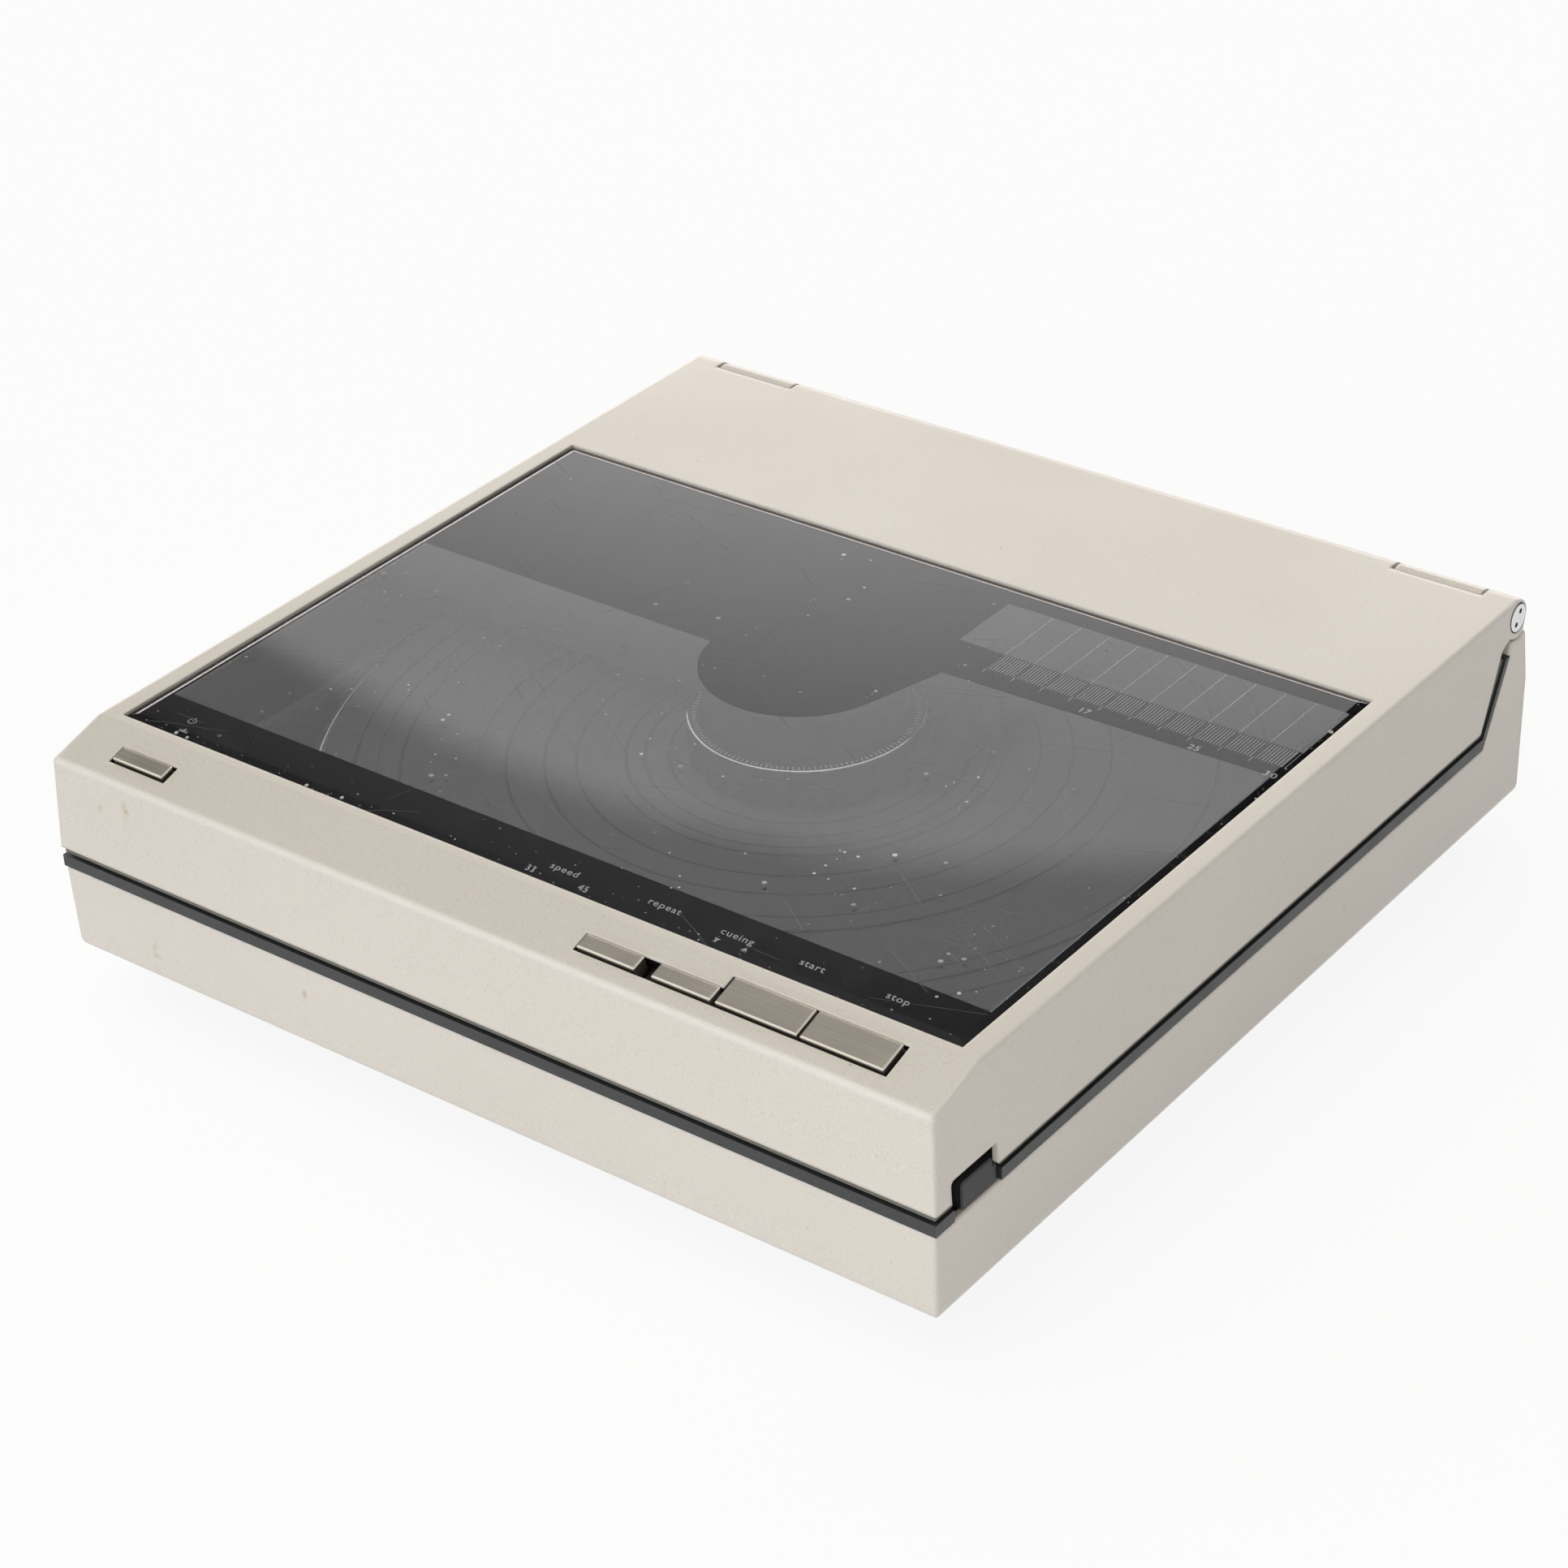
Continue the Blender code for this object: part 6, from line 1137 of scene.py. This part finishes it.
@dataclass
class Clamp(Assembly):
    """The record clamp that hangs under the window: disc, bright ring, ticks, plunger and housing."""

    ring_radius: float = 0.0359
    ring: tuple[Point, ...] = ((-1.0, -0.3), (0.0, -0.3), (0.0, 0.3), (-0.2, 0.5), (-0.8, 0.5), (-1.0, 0.3))
    flange: tuple[Point, ...] = ((-4.1, -1.2), (-0.8, -1.2), (-0.8, -0.1), (-3.8, -0.1), (-4.1, -0.4))
    tick_inner: float = 0.0328
    tick_outer: float = 0.0342
    tick_half: float = 0.00016
    tick_low: float = -0.0002
    tick_high: float = 0.00005
    ticks: int = 132
    tick_paint: Ink = Ink("clamp_tick_paint", tone(176, 176, 174))
    wire = Striped("spring_wire", tone(188, 188, 186), tone(52, 52, 52), 620.0, UPWARD, 1.0, 0.3)
    finishes = ((CLAMP_BLACK, "clamp_disc", "clamp_plunger", "clamp_housing"), (wire, "clamp_spring"))

    def add_pieces(self) -> None:
        """Add the bright ring, the flat flange inside it and the ticks that stand on the flange."""
        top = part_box("clamp_disc")[1].z
        edge = (self.ring_radius, top)
        dressed(turned("clamp_ring", self.ring, edge), BRIGHT_CHROME, "clamp")
        dressed(turned("clamp_flange", self.flange, edge), CLAMP_BLACK, "clamp")
        self.build_ticks(top)

    def build_ticks(self, top: float) -> None:
        """Build the ticks: a small block turned to each angle, all in one array."""
        sides = ((self.tick_inner, -1), (self.tick_outer, -1), (self.tick_outer, 1), (self.tick_inner, 1))
        levels = (top + self.tick_low, top + self.tick_high)
        corners = np.array([(r, s * self.tick_half, z) for z in levels for r, s in sides])
        turn = np.linspace(0.0, math.tau, self.ticks, endpoint=False)[:, None]
        x = corners[:, 0] * np.cos(turn) - corners[:, 1] * np.sin(turn)
        y = corners[:, 0] * np.sin(turn) + corners[:, 1] * np.cos(turn)
        points = np.stack([x, y, np.broadcast_to(corners[:, 2], x.shape)], axis=-1).reshape(-1, 3)
        block = np.array([(3, 2, 1, 0), (4, 5, 6, 7), (0, 1, 5, 4), (1, 2, 6, 5), (2, 3, 7, 6), (3, 0, 4, 7)])
        faces = (np.arange(self.ticks)[:, None, None] * 8 + block).reshape(-1, 4).tolist()
        dressed(surface("clamp_ticks", points, faces, False), self.tick_paint, "clamp")


class ArmDrive(Assembly):
    """The arm, its carriage, the rails and the drive that runs along the back of the lid."""

    wheel = Moulding("wheel_plastic", tone(214, 210, 198), 0.4, 600.0, 0.00003, 0.06)
    cord = Striped("cord_twist", tone(198, 190, 168), tone(120, 110, 90), 1600.0, (1.0, 0.4, 0.3))
    finishes = (
        (CLAMP_BLACK, "mechanism_cover"),
        (BLACK_PLASTIC, "arm_carriage", "cartridge"),
        (Metal("arm_tube", tone(206, 206, 204), 0.22, Way.ALONG_Y, 0.2), "tonearm"),
        (Moulding("stylus_holder", tone(196, 190, 178), 0.4, 900.0, 0.00002, 0.02), "stylus"),
        (PLAIN_STEEL, "arm_rail", "guide_rail", "wheel_axle", "idler_pin"),
        (ZINC, "rail_bracket_left", "rail_bracket_right"),
        (wheel, "drive_wheel", "idler_pulley"),
        (Metal("brass_pulley", tone(196, 164, 92), 0.3, Way.CAST, 0.2), "motor_pulley"),
        (Metal("motor_can", tone(190, 190, 186), 0.32, Way.ALONG_Z, 0.3), "arm_motor", "lift_solenoid"),
        (Striped("belt_rubber", tone(44, 43, 42), tone(26, 26, 26), 1500.0, (1.0, 0.0, 0.0)), "drive_belt"),
        (cord, "drive_cord"),
    )


BOARD_LOW, BOARD_HIGH = 0.0017, 0.0019


def board_finish(name: str, node: str) -> Circuit:
    """Return the finish of a circuit board, whose parts begin above its plate."""
    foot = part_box(node)[0].z
    return Circuit(name, foot + BOARD_LOW, foot + BOARD_HIGH)


class Electronics(Assembly):
    """The circuit boards, the transformer and the sockets at the back."""

    laminations = (tone(120, 112, 104), tone(58, 54, 50), 1100.0, (0.0, 1.0, 0.0), 0.6, 0.45)
    gilt = Metal("gilt_socket", tone(204, 178, 112), 0.25, Way.CAST, 0.2)
    finishes = (
        (board_finish("main_circuit", "main_board"), "main_board"),
        (board_finish("key_circuit", "key_board"), "key_board"),
        (Striped("transformer_stack", *laminations), "transformer"),
        (BLACK_PLASTIC, "rear_panel", "power_inlet"),
        (gilt, "output_socket_left", "output_socket_right"),
        (ZINC, "earth_terminal"),
    )


@dataclass
class Underside(Assembly):
    """The bottom cover with its screws, and the rubber feet."""

    cover_screws: tuple[Point, ...] = (
        (-0.141, 0.0), (0.141, 0.0), (-0.06, -0.144), (0.06, -0.144), (-0.06, 0.144), (0.06, 0.144),
    )
    screw_radius: float = 0.003
    finishes = (
        (Metal("black_sheet", tone(64, 64, 64), 0.5, Way.CAST, 0.3, 0.00003), "bottom_cover"),
        (FOOT_RUBBER, "foot_front_left", "foot_front_right", "foot_back_left", "foot_back_right"),
    )

    def add_pieces(self) -> None:
        """Add the screw heads."""
        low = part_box("bottom_cover")[0].z
        for number, (x, y) in enumerate(self.cover_screws):
            self.screw(f"cover_screw_{number}", (x, y, low))

    def screw(self, name: str, middle: Place) -> None:
        """Build a screw head that faces down, with a cross recess.

        Its depth is a shallow dome, 1 minus a part of the radius share's square, less the recess where
        the point lies within a bar's width of either cross line.

        Args:
            name: The piece's name.
            middle: The centre of its seat.
        """
        share = np.array([0.02, 0.16, 0.3, 0.44, 0.58, 0.6, 0.75, 0.9, 1.0, 1.0])[:, None]
        angle = np.linspace(0, math.tau, 32, endpoint=False)
        across, along = share * np.cos(angle), share * np.sin(angle)
        bar = (np.minimum(np.abs(across), np.abs(along)) < 0.12) & (share < 0.59)
        depth = 0.55 * (1 - 0.45 * share**2) - 0.3 * bar
        depth[-1] = 0.0
        points = np.stack([across, along, -depth], axis=-1).reshape(-1, 3) * self.screw_radius + middle
        dressed(surface(name, points, capped_faces(*depth.shape), False), ZINC, "base")


@dataclass
class Studio:
    """Pale floor, soft light from the front left, and the camera at the photograph's angle."""

    place: Place = (0.6269, -0.8031, 0.6757)
    right: Place = (0.7976, 0.602, -0.0386)
    up: Place = (-0.2905, 0.4393, 0.85)
    back: Place = (0.5287, -0.6668, 0.5253)
    lens: float = 91.51
    ambient: float = 0.95
    sun: float = 0.22
    sun_height: float = 74.0
    sun_side: float = 250.0
    sun_spread: float = 50.0
    floor_lift: float = 0.9
    side_place: Place = (0.66, -0.5, 0.16)
    side_aim: Place = (0.12, -0.12, 0.04)
    band_side: float = 122.0
    band_top: float = 33.3
    band_bow: float = 0.028
    bow_side: float = 125.0
    right_side: float = 48.0
    front_side: float = 226.0
    front_strength: float = 3.8
    dark_side: float = 30.0
    side_size: float = 0.4
    side_power: float = 0.68

    def build(self) -> None:
        """Set the view, the floor, the world, the lamp and the camera."""
        bpy.context.scene.view_settings.view_transform = "Standard"
        self.build_floor()
        self.build_world()
        self.build_lamp()
        self.build_camera()

    def build_floor(self) -> None:
        """Lay the floor as a wide grid with a faint unevenness in its tone."""
        side = np.linspace(-4.0, 4.0, 9)
        x, y = np.meshgrid(side, side)
        points = np.stack([x, y, np.zeros_like(x)], axis=-1).reshape(-1, 3)
        floor = surface("studio_floor", points, grid_faces(9, 9, False))
        recipe = Recipe("studio_floor_paper", Roughness=0.9, Specular_IOR_Level=0.1)
        paper = recipe.at.noise(3.0, 3.0).span(0.3, 0.7).blend((0.97, 0.97, 0.97), (0.96, 0.962, 0.965))
        floor.data.materials.append(recipe.set(Base_Color=paper))
        path = recipe.add("ShaderNodeLightPath")
        seen = path["Is Camera Ray"].largest(path["Is Transmission Ray"]).largest(path["Is Glossy Ray"])
        white = recipe.add("ShaderNodeEmission", {"Color": (1.0, 1.0, 1.0), "Strength": 1.0})
        both = recipe.add("ShaderNodeMixShader", {0: seen * self.floor_lift, 1: recipe.lit, 2: white})
        recipe.feed(recipe.out.inputs["Surface"], both)
        if floor.data.polygons[0].normal.z < 0:
            floor.data.flip_normals()

    def build_world(self) -> None:
        """Build the surroundings: white to the camera, an even fill, and a soft band for reflections.

        The band is bright towards the back left and low down, and fades upwards and towards the left,
        as the wall and ceiling of the room do in the window. Weaker lights stand right, ahead and overhead.
        """
        world = bpy.data.worlds.new("studio_world")
        bpy.context.scene.world = world
        world.use_nodes = True
        sky = Tree(world.node_tree)
        way = sky.add("ShaderNodeTexCoord")["Generated"]
        x, y, height = way.parts()
        level = (way * (1.0, 1.0, 0.0)).step("NORMALIZE")
        turn, rise = y.step("ARCTAN2", x).step("DEGREES"), height.step("ARCSINE").step("DEGREES")
        past = (turn - self.bow_side).largest(0.0)
        above = rise - self.band_top + past * past * self.band_bow
        edge = (above.soft(-0.8, 0.0) * 0.78 + 0.2) * above.soft(0.6, 3.6)
        low = above.span(-5.5, -2.2, 2.1, 1.2) + above.span(-9.0, -5.5, 1.8, 0.0)
        toward = level.dot(self.heading(self.band_side))
        band = low * edge * rise.span(4.0, 24.0, 0.75, 1.0) * toward.span(0.3, 0.8)
        plain = toward.span(-0.2, 0.3, 1.0, 0.0) * height.span(0.9, 0.3) * 0.75 + 0.05
        overhead = height.span(0.68, 0.8, 0.0, 0.36)
        right = level.dot(self.heading(self.right_side)).span(0.85, 0.98) * rise.span(20.0, 30.0, 0.0, 1.6)
        front = level.dot(self.heading(self.front_side)).span(0.8, 0.98) * rise.span(20.0, 34.0)
        glossy = band + plain + overhead + right + front * rise.span(62.0, 48.0) * self.front_strength
        shaded = level.dot(self.heading(self.dark_side)).span(-0.2, 0.8, 1.15, 0.08) * self.ambient
        tint = height.span(0.35, 0.75).blend((1.0, 1.06, 1.22), (0.97, 0.925, 0.78))
        warmth = rise.span(12.0, 26.0).blend((1.0, 0.9, 0.86), (1.0, 0.99, 0.985))
        fill = sky.add("ShaderNodeBackground", {"Color": tint, "Strength": shaded})
        mirror = sky.add("ShaderNodeBackground", {"Color": warmth, "Strength": glossy})
        white = sky.add("ShaderNodeBackground", {"Color": (1.0, 1.0, 1.0), "Strength": 1.0})
        path = sky.add("ShaderNodeLightPath")
        seen = path["Is Camera Ray"].largest(path["Is Transmission Ray"])
        first = sky.add("ShaderNodeMixShader", {0: path["Is Glossy Ray"], 1: fill, 2: mirror})
        second = sky.add("ShaderNodeMixShader", {0: seen, 1: first, 2: white})
        sky.node("ShaderNodeOutputWorld", {"Surface": second})

    def heading(self, degrees: float) -> Place:
        """Return the level direction at an angle from the x axis."""
        return (math.cos(math.radians(degrees)), math.sin(math.radians(degrees)), 0.0)

    def build_lamp(self) -> None:
        """Hang one broad soft lamp by its height and side angle, and a small one at the right."""
        data = bpy.data.lights.new("studio_key", "SUN")
        data.energy, data.angle = self.sun, math.radians(self.sun_spread)
        lamp = linked("studio_key", data)
        tilt = math.radians(self.sun_height)
        toward = Vector(self.heading(self.sun_side)) * math.cos(tilt) + Vector((0.0, 0.0, math.sin(tilt)))
        lamp.location = toward * 3.0
        lamp.rotation_euler = toward.to_track_quat("Z", "Y").to_euler()
        data = bpy.data.lights.new("studio_side", "AREA")
        data.energy, data.size = self.side_power, self.side_size
        side_lamp = linked("studio_side", data)
        side_lamp.location = self.side_place
        back = Vector(self.side_place) - Vector(self.side_aim)
        side_lamp.rotation_euler = back.to_track_quat("Z", "Y").to_euler()

    def build_camera(self) -> None:
        """Set the camera from its axes."""
        data = bpy.data.cameras.new("photo_camera")
        data.lens, data.sensor_width = self.lens, 36.0
        camera = linked("photo_camera", data)
        axes = Matrix((self.right, self.up, self.back)).transposed().to_4x4()
        camera.matrix_world = Matrix.Translation(self.place) @ axes
        bpy.context.scene.camera = camera


def main() -> None:
    """Build each sub-assembly in order."""
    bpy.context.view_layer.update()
    outside = (Casing, TrimBand, Window, KeyStrip, HingePair)
    for kind in (Studio, *outside, Turntable, Clamp, ArmDrive, Electronics, Underside):
        kind().build()
        LOG.info("built %s", kind.__name__)


if __name__ == "__main__":
    logging.basicConfig(level=logging.INFO)
    main()
